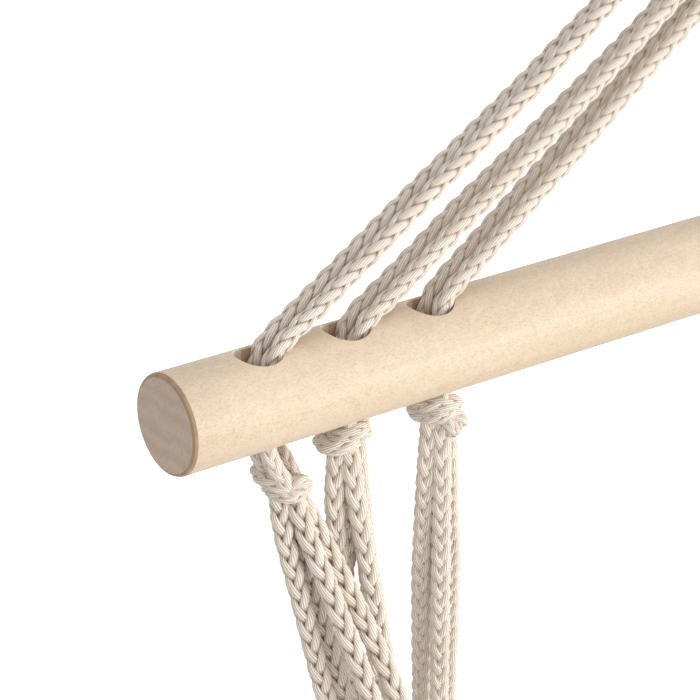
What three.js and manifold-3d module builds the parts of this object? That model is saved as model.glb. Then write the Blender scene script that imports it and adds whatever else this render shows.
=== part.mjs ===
// Hammock chair: a round wooden spreader bar under a steel ring and swivel, with doubled
// upper cords through holes in the bar, knots under it, and looped seat cords that carry
// a canvas seat by the eyelets of its two side bands. Millimetres, +Z up. The origin is
// where the swivel's bow rests on its hook. X runs along the bar and the front is at -Y.

import * as THREE from 'three';
import { mergeVertices } from 'three/addons/utils/BufferGeometryUtils.js';
import Module from 'manifold-3d';

const wasm = await Module();
wasm.setup();

// Driving dimensions
const clearance = 0.3;
const overrun = 5;

const bar = { length: 1000, diameter: 30, chamfer: 1.2 };
const hole = { diameter: 16, fromEnd: 32, pitch: 30.7, rounding: 1.6 };
const cord = { diameter: 6, bend: 14 };
const ring = { wire: 8, radius: 36, heightOverBar: 308 };

const bow = { rod: 8, halfWidth: 16, legBottom: 30, footSpread: 12, footDepth: 39 };
const boss = { radius: 15, top: 34, thickness: 10, edge: 2 };
const shank = { radius: 4.7, headRadius: 8, headHeight: 6, collarRadius: 8, collarHeight: 3 };
const washer = { radius: 9.5, thickness: 2 };
const eye = { wire: 8, radius: 14 };

// Each knot's place: from its hole towards the middle of the bar, forward, and down
const knot = { width: 18, depth: 16.4, height: 11.2, tail: 2, hingeDrop: 24 };
const knotPlaces = [
  { inward: 6.7, forward: 1, drop: 29.3, turn: 0 },
  { inward: -1.6, forward: 0, drop: 21, turn: 25 },
  { inward: 3.4, forward: 0, drop: 22.8, turn: -40 },
];

// The seat's side edge as a quadratic curve: distance behind the bar, below its axis,
// out from the middle, and the depth of the canvas under the edge
const edgeFront = { behind: -318, below: 755, out: 310, sag: 320 };
const edgeGuide = { behind: 75, below: 820, out: 425, sag: 290 };
const edgeRear = { behind: 150, below: 445, out: 275, sag: 125 };
const eyelet = { fromEnd: 24, bore: 10, barrel: 11.6, flange: 17.4, lip: 1, cordEase: 1.1 };
const band = { above: 15, below: 35, thickness: 2.4, holeSize: 12.4 };
const canvas = { thickness: 2.4, lapTop: 10, lapEase: 0.2, hemThickness: 4.8 };
const gatherDepth = 9;

// Counts and shares
const holeCount = 3;
const loopsPerKnot = 2;
const eyeletCount = 2 * loopsPerKnot * holeCount;
const gatherCount = 6;
const canvasHalfColumns = 6;
const canvasShares = { leave: 0.42, level: 0.5, crowding: 1.25, gathered: 0.625 };
const upperPair = { midwayShare: 0.5, ringShare: 0.83, spreadShare: 1.06 };

// Angles in degrees: the turn of a doubled cord's two runs, its place on the ring, and the
// turns of a knot
const pairTurn = { atHole: 18, midway: 40, atRing: 10 };
const ringAngleOfMiddleCord = 213;
const knotTurn = { wraps: -127, tails: 8 };
const bendDegrees = { largestStep: 51, smallestTurn: 15 };

const steelFinish = { color: 0xb4b8bb, roughness: 0.35, metalness: 1 };
const brassFinish = { color: 0xb8974f, roughness: 0.35, metalness: 1 };
const woodFinish = { color: 0xe9d2b4, roughness: 0.55, metalness: 0 };
const cordFinish = { color: 0xe2d8ca, roughness: 0.9, metalness: 0 };
const canvasFinish = { color: 0xe8ddc8, roughness: 0.92, metalness: 0 };

const sideCount = 8;
const roundSegments = 16;
const barSegments = 24;
const ringSegments = 32;
const chair = new THREE.Group();

function add(name, geometry, finish) {
  const mesh = new THREE.Mesh(geometry, new THREE.MeshStandardMaterial(finish));
  mesh.name = name;
  chair.add(mesh);
  return mesh;
}

// Solids: joining and cutting closed meshes

function solidOf(geometry) {
  const bare = geometry.clone();
  bare.deleteAttribute('normal');
  bare.deleteAttribute('uv');
  const merged = mergeVertices(bare, 1e-4);
  const vertProperties = new Float32Array(merged.attributes.position.array);
  const triVerts = new Uint32Array(merged.index.array);
  return new wasm.Manifold(new wasm.Mesh({ numProp: 3, vertProperties, triVerts }));
}

function geometryOf(solid) {
  const mesh = solid.getMesh();
  const geometry = new THREE.BufferGeometry();
  geometry.setAttribute('position', new THREE.BufferAttribute(mesh.vertProperties, 3));
  geometry.setIndex(new THREE.BufferAttribute(mesh.triVerts, 1));
  geometry.computeVertexNormals();
  return geometry;
}

function unite(...geometries) {
  return geometryOf(geometries.map(solidOf).reduce((whole, piece) => whole.add(piece)));
}

function cut(body, ...cutters) {
  return geometryOf(cutters.map(solidOf).reduce((rest, tool) => rest.subtract(tool), solidOf(body)));
}

// Curves and tubes

const vector = (x, y, z) => new THREE.Vector3(x, y, z);
const along = (point, direction, distance) => point.clone().addScaledVector(direction, distance);
const unitBetween = (from, to) => to.clone().sub(from).normalize();

// Bends under the smallest turn keep one tube ring, and others have a ring at each step
const largestStep = THREE.MathUtils.degToRad(bendDegrees.largestStep);
const smallestTurn = THREE.MathUtils.degToRad(bendDegrees.smallestTurn);

// A route with one tube ring at each of its points, so that rings are close only in bends
class PointRoute extends THREE.Curve {
  constructor(points) {
    super();
    this.points = points;
  }

  getPoint(t, target = vector(0, 0, 0)) {
    return target.copy(this.points[Math.round(t * (this.points.length - 1))]);
  }

  getPointAt(u, target) {
    return this.getPoint(u, target);
  }

  getTangentAt(u, target = vector(0, 0, 0)) {
    const last = this.points.length - 1;
    const i = Math.round(u * last);
    const before = this.points[Math.max(i - 1, 0)];
    const after = this.points[Math.min(i + 1, last)];
    return target.copy(unitBetween(before, after));
  }
}

function tube(points, diameter, sides = sideCount) {
  const corners = Array.from({ length: sides }, (_, i) => {
    const angle = (2 * Math.PI * i) / sides;
    return new THREE.Vector2(Math.cos(angle), Math.sin(angle)).multiplyScalar(diameter / 2);
  });
  const route = new PointRoute(points);
  const settings = { steps: points.length - 1, bevelEnabled: false, extrudePath: route };
  return new THREE.ExtrudeGeometry(new THREE.Shape(corners), settings);
}

// The corners of a polyline turned into arcs, each within half of its two straight runs
function rounded(corners, radius) {
  const points = [corners[0]];
  for (let i = 1; i < corners.length - 1; i += 1) {
    const corner = corners[i];
    const back = unitBetween(corner, corners[i - 1]);
    const ahead = unitBetween(corner, corners[i + 1]);
    const halfAngle = back.angleTo(ahead) / 2;
    if (Math.PI - 2 * halfAngle < smallestTurn) {
      points.push(corner);
      continue;
    }
    const room = Math.min(corner.distanceTo(corners[i - 1]), corner.distanceTo(corners[i + 1])) / 2;
    const reach = Math.min(radius / Math.tan(halfAngle), room);
    const centre = along(corner, back.clone().add(ahead).normalize(), reach / Math.cos(halfAngle));
    const from = along(corner, back, reach).sub(centre);
    const to = along(corner, ahead, reach).sub(centre);
    const turn = from.angleTo(to);
    const steps = Math.ceil(turn / largestStep);
    for (let step = 0; step <= steps; step += 1) {
      const share = step / steps;
      const start = from.clone().multiplyScalar(Math.sin((1 - share) * turn) / Math.sin(turn));
      const end = to.clone().multiplyScalar(Math.sin(share * turn) / Math.sin(turn));
      points.push(start.add(end).add(centre));
    }
  }
  points.push(corners[corners.length - 1]);
  return points;
}

// The angles of half a turn, one for each tube ring of a bight
const halfTurnSteps = 7;
const halfTurn = Array.from({ length: halfTurnSteps + 1 }, (_, i) => (Math.PI * i) / halfTurnSteps);

function revolved(profile, segments = roundSegments) {
  const points = profile.map(([radius, height]) => new THREE.Vector2(radius, height));
  return new THREE.LatheGeometry(points, segments).rotateX(Math.PI / 2);
}

// Hanger: the swivel's bow, thrust washer and eye, and the ring below it

const bossBottom = -boss.top - boss.thickness;
const collarBottom = bossBottom - clearance - shank.collarHeight;
const eyeCentre = collarBottom - eye.radius - eye.wire / 2 + clearance;
const ringTop = eyeCentre - eye.radius + eye.wire / 2 + clearance + ring.wire / 2;
const ringCentre = ringTop - ring.radius;
const barHeight = ringCentre - ring.heightOverBar;

function swivelBow() {
  const rodTop = bow.rod / 2;
  const shoulder = rodTop - bow.halfWidth;
  const arch = halfTurn.map((angle) => {
    return vector(-bow.halfWidth * Math.cos(angle), 0, shoulder + bow.halfWidth * Math.sin(angle));
  });
  const legs = (side) => [
    vector(side * bow.footSpread, 0, -bow.footDepth),
    vector(side * bow.halfWidth, 0, -bow.legBottom),
  ];
  const rod = tube([...legs(-1), ...arch, ...legs(1).reverse()], bow.rod);
  const bore = shank.radius + clearance;
  const seat = revolved([
    [bore, -boss.top],
    [bore, bossBottom],
    [boss.radius - boss.edge, bossBottom],
    [boss.radius, bossBottom + boss.edge],
    [boss.radius, -boss.top - boss.edge],
    [boss.radius - boss.edge, -boss.top],
    [bore, -boss.top],
  ]);
  const boreCut = new THREE.CylinderGeometry(bore, bore, bow.footDepth, roundSegments);
  boreCut.rotateX(Math.PI / 2);
  boreCut.translate(0, 0, bossBottom);
  return cut(unite(rod, seat), boreCut);
}

function swivelWasher() {
  const bottom = -boss.top + clearance;
  const top = bottom + washer.thickness;
  const bore = shank.radius + clearance;
  return revolved([
    [bore, bottom],
    [washer.radius, bottom],
    [washer.radius, top],
    [bore, top],
    [bore, bottom],
  ]);
}

function swivelEye() {
  const headBottom = -boss.top + washer.thickness + 2 * clearance;
  const headTop = headBottom + shank.headHeight;
  const headEdge = shank.headHeight / 3;
  const stem = revolved([
    [0, collarBottom],
    [shank.collarRadius, collarBottom],
    [shank.collarRadius, bossBottom - clearance],
    [shank.radius, bossBottom - clearance],
    [shank.radius, headBottom],
    [shank.headRadius, headBottom],
    [shank.headRadius, headTop - headEdge],
    [shank.headRadius - headEdge, headTop],
    [0, headTop],
  ]);
  const loop = new THREE.TorusGeometry(eye.radius, eye.wire / 2, sideCount, roundSegments);
  loop.rotateY(Math.PI / 2).translate(0, 0, eyeCentre);
  return unite(stem, loop);
}

function hangRing() {
  const loop = new THREE.TorusGeometry(ring.radius, ring.wire / 2, sideCount, ringSegments);
  return loop.rotateX(Math.PI / 2).translate(0, 0, ringCentre);
}

// Spreader bar with a chamfer at each end and rounded mouths on its upright holes

const holeOut = (index) => bar.length / 2 - hole.fromEnd - index * hole.pitch;

function holeCutter(x) {
  const surface = bar.diameter / 2;
  const bore = hole.diameter / 2;
  const mouth = [0, Math.PI / 4, Math.PI / 2].map((angle) => {
    const radius = bore + hole.rounding * (1 - Math.cos(angle));
    return [radius, surface - hole.rounding * (1 - Math.sin(angle))];
  });
  const top = [...mouth, [bore + hole.rounding, surface + overrun], [0, surface + overrun]];
  const bottom = top.map(([radius, height]) => [radius, -height]).reverse();
  return revolved([...bottom, ...top]).translate(x, 0, barHeight);
}

function spreaderBar() {
  const radius = bar.diameter / 2;
  const half = bar.length / 2;
  const dowel = revolved([
    [0, -half],
    [radius - bar.chamfer, -half],
    [radius, bar.chamfer - half],
    [radius, half - bar.chamfer],
    [radius - bar.chamfer, half],
    [0, half],
  ], barSegments);
  dowel.rotateY(Math.PI / 2).translate(0, 0, barHeight);
  const places = Array.from({ length: holeCount }, (_, index) => holeOut(index));
  return cut(dowel, ...places.flatMap((x) => [holeCutter(-x), holeCutter(x)]));
}

// Upper cords: one doubled cord for each hole, looped over the ring. Both runs lie side by
// side, and the pair turns a little on its way down.

const touch = cord.diameter + clearance;

function knotCentre(side, index) {
  const place = knotPlaces[index];
  const x = side * (holeOut(index) - place.inward);
  return vector(x, -place.forward, barHeight - place.drop);
}

// Middle line of a doubled cord: where it leaves its hole, where it lies on the ring
function upperLine(side, index) {
  const spacing = (touch / ring.radius) * upperPair.spreadShare;
  const angle = THREE.MathUtils.degToRad(ringAngleOfMiddleCord) + (index - 1) * spacing;
  const out = -side * ring.radius * Math.cos(angle);
  const onRing = vector(out, 0, ringCentre + ring.radius * Math.sin(angle));
  const x = side * (holeOut(index) + clearance);
  const mouth = vector(x, 0, barHeight + bar.diameter / 2 - hole.rounding / 2);
  return { x, mouth, onRing, pull: unitBetween(onRing, mouth) };
}

function upperCord(side, index) {
  const { x, mouth, onRing, pull } = upperLine(side, index);
  const down = vector(side * pull.z, 0, -side * pull.x);
  const offset = (half, share, degrees) => {
    const turn = THREE.MathUtils.degToRad(degrees);
    const point = mouth.clone().lerp(onRing, share);
    point.y += half * Math.cos(turn);
    return along(point, down, half * Math.sin(turn));
  };
  const centre = knotCentre(side, index);
  const top = centre.z + knot.height / 2 + clearance;
  const leg = (half) => {
    const run = rounded([
      vector(centre.x, centre.y + half, top),
      vector(centre.x, centre.y + half, top + cord.diameter / 2),
      vector(x, half, barHeight - bar.diameter / 4),
      vector(x, half, barHeight),
      offset(half, 0, pairTurn.atHole),
      offset(half, upperPair.midwayShare, pairTurn.midway),
    ], cord.bend);
    return [...run, offset(half, upperPair.ringShare, pairTurn.atRing)];
  };
  const reach = ring.wire / 2 + clearance + cord.diameter / 2;
  const bight = halfTurn.map((turn) => {
    const point = along(onRing, pull, -reach * Math.sin(turn));
    point.y -= reach * Math.cos(turn);
    return point;
  });
  return tube([...leg(-touch / 2), ...bight, ...leg(touch / 2).reverse()], cord.diameter);
}

// Seat edge: where the eyelets stand, and the directions along and across the band

function onCurve(key, share) {
  const rest = 1 - share;
  return rest ** 2 * edgeFront[key] + 2 * share * rest * edgeGuide[key] + share ** 2 * edgeRear[key];
}

function edgePoint(side, share) {
  return vector(side * onCurve('out', share), onCurve('behind', share), barHeight - onCurve('below', share));
}

const curveSamples = 200;
const edgeLengths = [0];
for (let i = 1; i <= curveSamples; i += 1) {
  const step = edgePoint(1, i / curveSamples).distanceTo(edgePoint(1, (i - 1) / curveSamples));
  edgeLengths.push(edgeLengths[i - 1] + step);
}
const edgeLength = edgeLengths[curveSamples];

function shareAtLength(length) {
  const wanted = Math.min(Math.max(length, 0), edgeLength);
  const i = Math.max(edgeLengths.findIndex((value) => value >= wanted), 1);
  const part = (wanted - edgeLengths[i - 1]) / (edgeLengths[i] - edgeLengths[i - 1]);
  return (i - 1 + part) / curveSamples;
}

// Length from the front end of the band to each eyelet
function eyeletLength(index) {
  return eyelet.fromEnd + (index * (edgeLength - 2 * eyelet.fromEnd)) / (eyeletCount - 1);
}

function edgeFrame(side, share) {
  const small = 1 / curveSamples;
  const point = edgePoint(side, share);
  const ahead = unitBetween(edgePoint(side, share - small), edgePoint(side, share + small));
  const out = THREE.MathUtils.lerp(holeOut(0), holeOut(holeCount - 1), share);
  const apex = vector(side * out, 0, barHeight - knot.hingeDrop);
  const pull = unitBetween(point, apex);
  const fall = along(pull, ahead, -pull.dot(ahead)).normalize().multiplyScalar(-1);
  const inner = ahead.clone().cross(fall).normalize();
  if (inner.x * side > 0) {
    inner.multiplyScalar(-1);
  }
  return { point, ahead, fall, inner };
}

// A thin solid about a grid of points, with walls round its outline and its open cells
function sheet(grid, thicknessAt, isOpen = () => false) {
  const rows = grid.length;
  const columns = grid[0].length;
  const positions = [];
  const indices = [];
  const clamped = (value, count) => Math.min(Math.max(value, 0), count - 1);
  const pick = (i, j) => grid[clamped(i, rows)][clamped(j, columns)];
  const normalAt = (i, j) => {
    const down = pick(i + 1, j).clone().sub(pick(i - 1, j));
    const over = pick(i, j + 1).clone().sub(pick(i, j - 1));
    return down.cross(over).normalize();
  };
  for (const face of [1, -1]) {
    for (let i = 0; i < rows; i += 1) {
      for (let j = 0; j < columns; j += 1) {
        const point = along(grid[i][j], normalAt(i, j), (face * thicknessAt(i, j)) / 2);
        positions.push(point.x, point.y, point.z);
      }
    }
  }
  const index = (face, i, j) => face * rows * columns + i * columns + j;
  const filled = (i, j) => i >= 0 && j >= 0 && i < rows - 1 && j < columns - 1 && !isOpen(i, j);
  const quad = (a, b, c, d) => indices.push(a, b, c, a, c, d);
  for (let i = 0; i < rows - 1; i += 1) {
    for (let j = 0; j < columns - 1; j += 1) {
      if (!filled(i, j)) {
        continue;
      }
      quad(index(0, i, j), index(0, i + 1, j), index(0, i + 1, j + 1), index(0, i, j + 1));
      quad(index(1, i, j), index(1, i, j + 1), index(1, i + 1, j + 1), index(1, i + 1, j));
      const walls = [
        [[i - 1, j], [i, j], [i, j + 1]],
        [[i + 1, j], [i + 1, j + 1], [i + 1, j]],
        [[i, j - 1], [i + 1, j], [i, j]],
        [[i, j + 1], [i, j + 1], [i + 1, j + 1]],
      ];
      for (const [next, from, to] of walls) {
        if (!filled(...next)) {
          quad(index(0, ...from), index(0, ...to), index(1, ...to), index(1, ...from));
        }
      }
    }
  }
  const geometry = new THREE.BufferGeometry();
  geometry.setAttribute('position', new THREE.Float32BufferAttribute(positions, 3));
  geometry.setIndex(indices);
  geometry.computeVertexNormals();
  return geometry;
}

// Side bands with a square opening for each eyelet. Bands and canvas share their lines
// across: the two sides of each opening, and one line between openings.

const acrossLines = [0];
for (let i = 0; i < eyeletCount; i += 1) {
  const place = eyeletLength(i);
  const next = i < eyeletCount - 1 ? (place + eyeletLength(i + 1)) / 2 : edgeLength;
  acrossLines.push(place - band.holeSize / 2, place + band.holeSize / 2, next);
}
const linesPerEyelet = 3;

function sideBand(side) {
  const heights = [-band.above, -band.holeSize / 2, band.holeSize / 2, band.below];
  const order = side < 0 ? heights : heights.reverse();
  const grid = acrossLines.map((length) => {
    const frame = edgeFrame(side, shareAtLength(length));
    return order.map((height) => along(frame.point, frame.fall, height));
  });
  return sheet(grid, () => band.thickness, (i, j) => j === 1 && i % linesPerEyelet === 1);
}

function eyeletRing(side, index) {
  const frame = edgeFrame(side, shareAtLength(eyeletLength(index)));
  const flat = band.thickness / 2 + clearance;
  const bore = eyelet.bore / 2;
  const profile = [
    [bore, -flat - eyelet.lip],
    [eyelet.flange / 2, -flat - eyelet.lip / 2],
    [eyelet.barrel / 2, -flat],
    [eyelet.barrel / 2, flat],
    [eyelet.flange / 2, flat + eyelet.lip / 2],
    [bore, flat + eyelet.lip],
    [bore, -flat - eyelet.lip],
  ];
  const spool = revolved(profile, sideCount);
  spool.applyQuaternion(new THREE.Quaternion().setFromUnitVectors(vector(0, 0, 1), frame.inner));
  return spool.translate(frame.point.x, frame.point.y, frame.point.z);
}

// Seat canvas: each cross-section leaves the band in line with it, falls to its depth at
// right angles to the edge and levels out in the middle, with gathers below the bands

function canvasHalfRow(side, share) {
  const frame = edgeFrame(side, share);
  const lapGap = (band.thickness + canvas.thickness) / 2 + clearance + canvas.lapEase;
  const inside = along(frame.point, frame.inner, lapGap);
  const top = along(inside, frame.fall, canvas.lapTop);
  const seam = along(inside, frame.fall, band.below);
  const downhill = vector(0, frame.ahead.z, -frame.ahead.y).normalize();
  const middle = along(vector(0, frame.point.y, frame.point.z), downhill, onCurve('sag', share));
  const low = along(middle, vector(side, 0, 0), Math.abs(seam.x) * canvasShares.level);
  const high = along(seam, frame.fall, seam.distanceTo(middle) * canvasShares.leave);
  const curve = new THREE.CubicBezierCurve3(seam, high, low, middle);
  const swell = gatherDepth * Math.cos(2 * Math.PI * gatherCount * share);
  const points = Array.from({ length: canvasHalfColumns + 1 }, (_, k) => {
    const place = (k / canvasHalfColumns) ** canvasShares.crowding;
    const reached = Math.min(place / canvasShares.gathered, 1);
    const fade = Math.sin(Math.PI * reached) * (1 - place);
    return along(curve.getPoint(place), frame.inner, swell * fade);
  });
  return [top, ...points];
}

function seatCanvas() {
  const grid = acrossLines.map((length) => {
    const share = shareAtLength(length);
    return [...canvasHalfRow(-1, share), ...canvasHalfRow(1, share).slice(0, -1).reverse()];
  });
  const lastRow = grid.length - 1;
  const lastColumn = grid[0].length - 1;
  return sheet(grid, (i, j) => {
    const onHem = i <= 1 || i >= lastRow - 1;
    const onLap = j <= 1 || j >= lastColumn - 1;
    return onHem && !onLap ? canvas.hemThickness : canvas.thickness;
  });
}

// Knots: a bundle of cords held by one cord wound round it, with four tails below

const hingeHeight = barHeight - knot.hingeDrop;
const tailDegrees = [-90, 180, 0, 90];

function knotReach(index) {
  const place = knotPlaces[index];
  const drop = place.drop - knot.hingeDrop + knot.height / 2;
  return Math.hypot(knot.depth / 2 + Math.abs(place.forward), drop) + knot.tail;
}

// The place of a knot's tail, and the direction straight away from the hinge line
function tailStart(side, index, tail) {
  const centre = knotCentre(side, index);
  const angle = THREE.MathUtils.degToRad(tailDegrees[tail] + knotTurn.tails);
  const offset = touch / Math.SQRT2;
  const x = centre.x - side * offset * Math.cos(angle);
  const y = centre.y + offset * Math.sin(angle);
  const reach = knotReach(index);
  const away = vector(0, y, -Math.sqrt(reach ** 2 - y ** 2)).normalize();
  const point = vector(x, away.y * reach, hingeHeight + away.z * reach);
  return { point, away };
}

// Each wrap's turn in degrees and its height as a share of the free height
const wrapTurnShares = [
  [[-130, 0.8], [-60, 0.9], [0, 0.2], [55, -0.8], [110, -0.4], [165, 0.4]],
  [[-175, 0.2], [-95, -0.25], [-35, -0.9], [20, -0.9], [75, 0.3], [120, 0.9], [160, 0.7]],
];
const wrapSteps = 7;

function wrapRoute(side, index, turnShares) {
  const centre = knotCentre(side, index);
  const across = (knot.width - cord.diameter) / 2;
  const through = (knot.depth - cord.diameter) / 2;
  const rise = (knot.height - cord.diameter) / 2;
  const points = turnShares.map(([degrees, heightShare]) => {
    const angle = THREE.MathUtils.degToRad(degrees + knotTurn.wraps + knotPlaces[index].turn);
    const x = centre.x - side * across * Math.cos(angle);
    return vector(x, centre.y + through * Math.sin(angle), centre.z + rise * heightShare);
  });
  return new THREE.CatmullRomCurve3(points).getSpacedPoints(wrapSteps);
}

function knotSolid(side, index) {
  const centre = knotCentre(side, index);
  const bundle = new THREE.SphereGeometry(touch, sideCount, sideCount - 2);
  bundle.scale(1, 1, knot.height / (2 * touch)).translate(centre.x, centre.y, centre.z);
  const wraps = wrapTurnShares.map((turns) => tube(wrapRoute(side, index, turns), cord.diameter));
  const radius = cord.diameter / 2;
  const tails = tailDegrees.map((degrees, tail) => {
    const { point, away } = tailStart(side, index, tail);
    const reach = knotReach(index);
    const short = reach - Math.sqrt((reach - clearance) ** 2 - radius ** 2);
    const end = along(point, away, -short - clearance);
    return tube([vector(end.x, centre.y, centre.z), end], cord.diameter);
  });
  return unite(bundle, ...wraps, ...tails);
}

// Seat cords: a loop leaves the knot, passes out through one eyelet, runs along the
// outside of the band, passes in through the next and returns to the same knot

function seatCord(side, loop) {
  const first = loop * 2;
  const index = Math.floor(loop / loopsPerKnot);
  const firstTail = first % tailDegrees.length;
  const offset = band.thickness / 2 + eyelet.lip + eyelet.cordEase + cord.diameter / 2;
  const turnIn = [first, first + 1].map((eyeletIndex) => {
    const frame = edgeFrame(side, shareAtLength(eyeletLength(eyeletIndex)));
    return [along(frame.point, frame.inner, offset), along(frame.point, frame.inner, -offset)];
  });
  const top = [firstTail, firstTail + 1].map((tail) => {
    const { point, away } = tailStart(side, index, tail);
    return [point, along(point, away, cord.diameter / 2)];
  });
  const corners = [...top[0], ...turnIn[0], ...turnIn[1].reverse(), ...top[1].reverse()];
  return tube(rounded(corners, offset), cord.diameter);
}

// Assembly

add('swivel_bow', swivelBow(), steelFinish);
add('swivel_washer', swivelWasher(), brassFinish);
add('swivel_eye', swivelEye(), steelFinish);
add('hang_ring', hangRing(), steelFinish);
add('spreader_bar', spreaderBar(), woodFinish);
const sideNames = { left: -1, right: 1 };
const holeNames = ['outer', 'middle', 'inner'];
for (const [sideName, side] of Object.entries(sideNames)) {
  holeNames.forEach((holeName, index) => {
    add(`upper_cord_${sideName}_${holeName}`, upperCord(side, index), cordFinish);
    add(`knot_${sideName}_${holeName}`, knotSolid(side, index), cordFinish);
  });
  for (let loop = 0; loop < loopsPerKnot * holeCount; loop += 1) {
    add(`seat_cord_${sideName}_${loop + 1}`, seatCord(side, loop), cordFinish);
  }
  add(`side_band_${sideName}`, sideBand(side), canvasFinish);
  for (let i = 0; i < eyeletCount; i += 1) {
    add(`eyelet_${sideName}_${i + 1}`, eyeletRing(side, i), brassFinish);
  }
}
add('seat_canvas', seatCanvas(), canvasFinish);

export default chair;
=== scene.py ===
"""Looks of the hammock chair: spreader bar, braided cotton cords and knots, canvas seat, ring and swivel.

Lengths are named in millimetres and turned into metres where a mesh is made. X runs along the bar,
the front is at -Y, and the origin is where the swivel's bow rests on its hook.
"""
import math

import bpy
import numpy as np
from mathutils import Matrix, Vector


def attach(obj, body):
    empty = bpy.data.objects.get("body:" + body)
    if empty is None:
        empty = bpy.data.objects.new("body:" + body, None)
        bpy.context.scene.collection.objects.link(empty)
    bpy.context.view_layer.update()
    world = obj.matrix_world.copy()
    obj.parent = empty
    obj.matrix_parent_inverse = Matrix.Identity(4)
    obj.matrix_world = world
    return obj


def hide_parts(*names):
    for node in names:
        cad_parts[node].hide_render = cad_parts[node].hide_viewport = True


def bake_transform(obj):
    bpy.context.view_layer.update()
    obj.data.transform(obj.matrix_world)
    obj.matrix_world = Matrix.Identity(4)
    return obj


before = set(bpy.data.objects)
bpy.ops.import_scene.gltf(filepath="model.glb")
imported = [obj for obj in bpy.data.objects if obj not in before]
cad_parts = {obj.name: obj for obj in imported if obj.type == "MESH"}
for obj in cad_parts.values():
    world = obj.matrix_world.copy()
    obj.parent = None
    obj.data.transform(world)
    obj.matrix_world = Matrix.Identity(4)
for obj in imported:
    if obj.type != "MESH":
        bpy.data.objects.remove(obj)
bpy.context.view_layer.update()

MM = 0.001
SIDES = {"left": -1, "right": 1}
PLACES = ("outer", "middle", "inner")
WHITE = (1, 1, 1, 1)

# Camera, as fitted to the photograph
CAMERA_PLACE = (-0.86097, -0.56508, -0.10473)
CAMERA_RIGHT = (0.799, -0.601, 0.0)
CAMERA_UP = (0.2372, 0.3153, 0.9187)
CAMERA_LOOK = (0.5523, 0.7343, -0.3947)
CAMERA_LENS, CAMERA_SENSOR, CAMERA_NEAR, CAMERA_FAR = 137.1, 36, 0.05, 60
TO_CAMERA = -np.array(CAMERA_LOOK)

LAMP_FROM, LAMP_COLOUR = (0.50, -0.86, -0.12), (1.0, 0.97, 0.92)
LAMP_STRENGTH, LAMP_ANGLE = 2.3, 28
SKY_LEFT, SKY_RIGHT = 0.54, 1.18
FLOOR_HEIGHT, FLOOR_HALF = -1.95, 7.0
FLOOR_COLOUR, FLOOR_GLOW = (0.86, 0.86, 0.85, 1), 0.6

# Lengths shared with the part, in mm
CLEARANCE = 0.3
BAR_RADIUS, BAR_HALF, BAR_CHAMFER = 15, 500, 1.2
HOLE_RADIUS, HOLE_FROM_END, HOLE_PITCH, HOLE_ROUNDING = 7.5, 32, 30.7, 0.5
# The worn mouths: narrower across the bar, a little outward, and rolled towards the front
HOLE_SQUASH, HOLE_OUTWARD, HOLE_ROLL = 0.86, 0.86, math.radians(4.5)
CORD, CORD_BEND = 6, 14
RING_WIRE, RING_RADIUS, RING_OVER_BAR = 4, 36, 308
EYE_RADIUS, EYE_WIRE = 14, 4
BOSS_TOP, BOSS_THICK, BOSS_RADIUS = -34, 10, 15
COLLAR_HIGH = 3
KNOT_DEPTH, KNOT_HIGH, KNOT_TAIL, HINGE_DROP = 16.4, 11.2, 2, 24
KNOT_PLACES = [(6.7, 1, 29.3), (-1.6, 0, 21), (3.4, 0, 22.8)]
EDGE_FRONT = {"behind": -318, "below": 755, "out": 310, "sag": 320}
EDGE_GUIDE = {"behind": 75, "below": 820, "out": 425, "sag": 290}
EDGE_REAR = {"behind": 150, "below": 445, "out": 275, "sag": 125}
EYELET_FROM_END, EYELET_COUNT = 24, 12
BAND_ABOVE, BAND_BELOW, BAND_THICK = 15, 35, 2.4
GATHER_DEPTH, GATHER_COUNT = 9, 6
EYELET_EASE = 2.1

BOSS_BOTTOM = BOSS_TOP - BOSS_THICK
COLLAR_BOTTOM = BOSS_BOTTOM - CLEARANCE - COLLAR_HIGH
EYE_CENTRE = COLLAR_BOTTOM - EYE_RADIUS - EYE_WIRE + CLEARANCE
RING_TOP = EYE_CENTRE - EYE_RADIUS + EYE_WIRE + CLEARANCE + RING_WIRE
RING_CENTRE = RING_TOP - RING_RADIUS
BAR_HEIGHT = RING_CENTRE - RING_OVER_BAR
HINGE_HEIGHT = BAR_HEIGHT - HINGE_DROP

# Braid of the cords, in mm: eight strands, four each way, each over two and under two
STRANDS_EACH_WAY = 4
STRAND_HALF_WIDE, STRAND_HALF_THICK = 1.42, 1.06
BRAID_MIDDLE, BRAID_RISE, BRAID_SWAY = 1.50, 0.80, 0.12
UPPER_BRAID = {"middle": 1.60, "rise": 0.68}
KNOT_BRAID = {"middle": 1.84, "rise": 0.34}
LAY_UPPER, LAY_LOWER, LAY_KNOT = 28.0, [32.0, 28.0, 28.0, 27.0, 25.0, 23.0], 24.0
SLIDE_UPPER, SLIDE_LOWER, SLIDE_KNOT = 1.7, 1.3, 2.3
UPPER_FULL, LOWER_FULL = 0.88, 1.07
YARNS, YARN_LEAN = 11, {1: -0.8, -1: 0.25}
FINE_STEP, PLAIN_STEP, KNOT_STEP = 1.1, 2.6, 0.85
SIDES_NEAR, SIDES_FAR = 8, 6
# Painted shade in a cord's crevices: how far from its middle a point is darkest, and how far out it is left
# unshaded. The inner lower loops get less of it, which paints them lighter
SHADE_DARKEST_AT, SHADE_NONE_AT = 1.85, 3.2
SHADE_DARKEST_AT_UPPER, SHADE_DARKEST_AT_LOWER = [2.05, 1.85, 1.80], [2.06, 2.06, 1.68, 1.68, 0.95, 0.95]
# Braid angles at which a column of one way's strands, or the V between two columns, is in front
V_ALONG, V_AGAINST = math.radians(67.5), math.radians(157.5)
COLUMN_WITH, COLUMN_ACROSS = math.radians(22.5), math.radians(112.5)
# How far from its ends a cord is in view, and where its braid is turned towards the viewer
UPPER_IN_VIEW, LOWER_IN_VIEW = 190, 100
UPPER_FACING, LOWER_FACING = 60, 40


def vec(x, y, z):
    return np.array([x, y, z], float)


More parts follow.
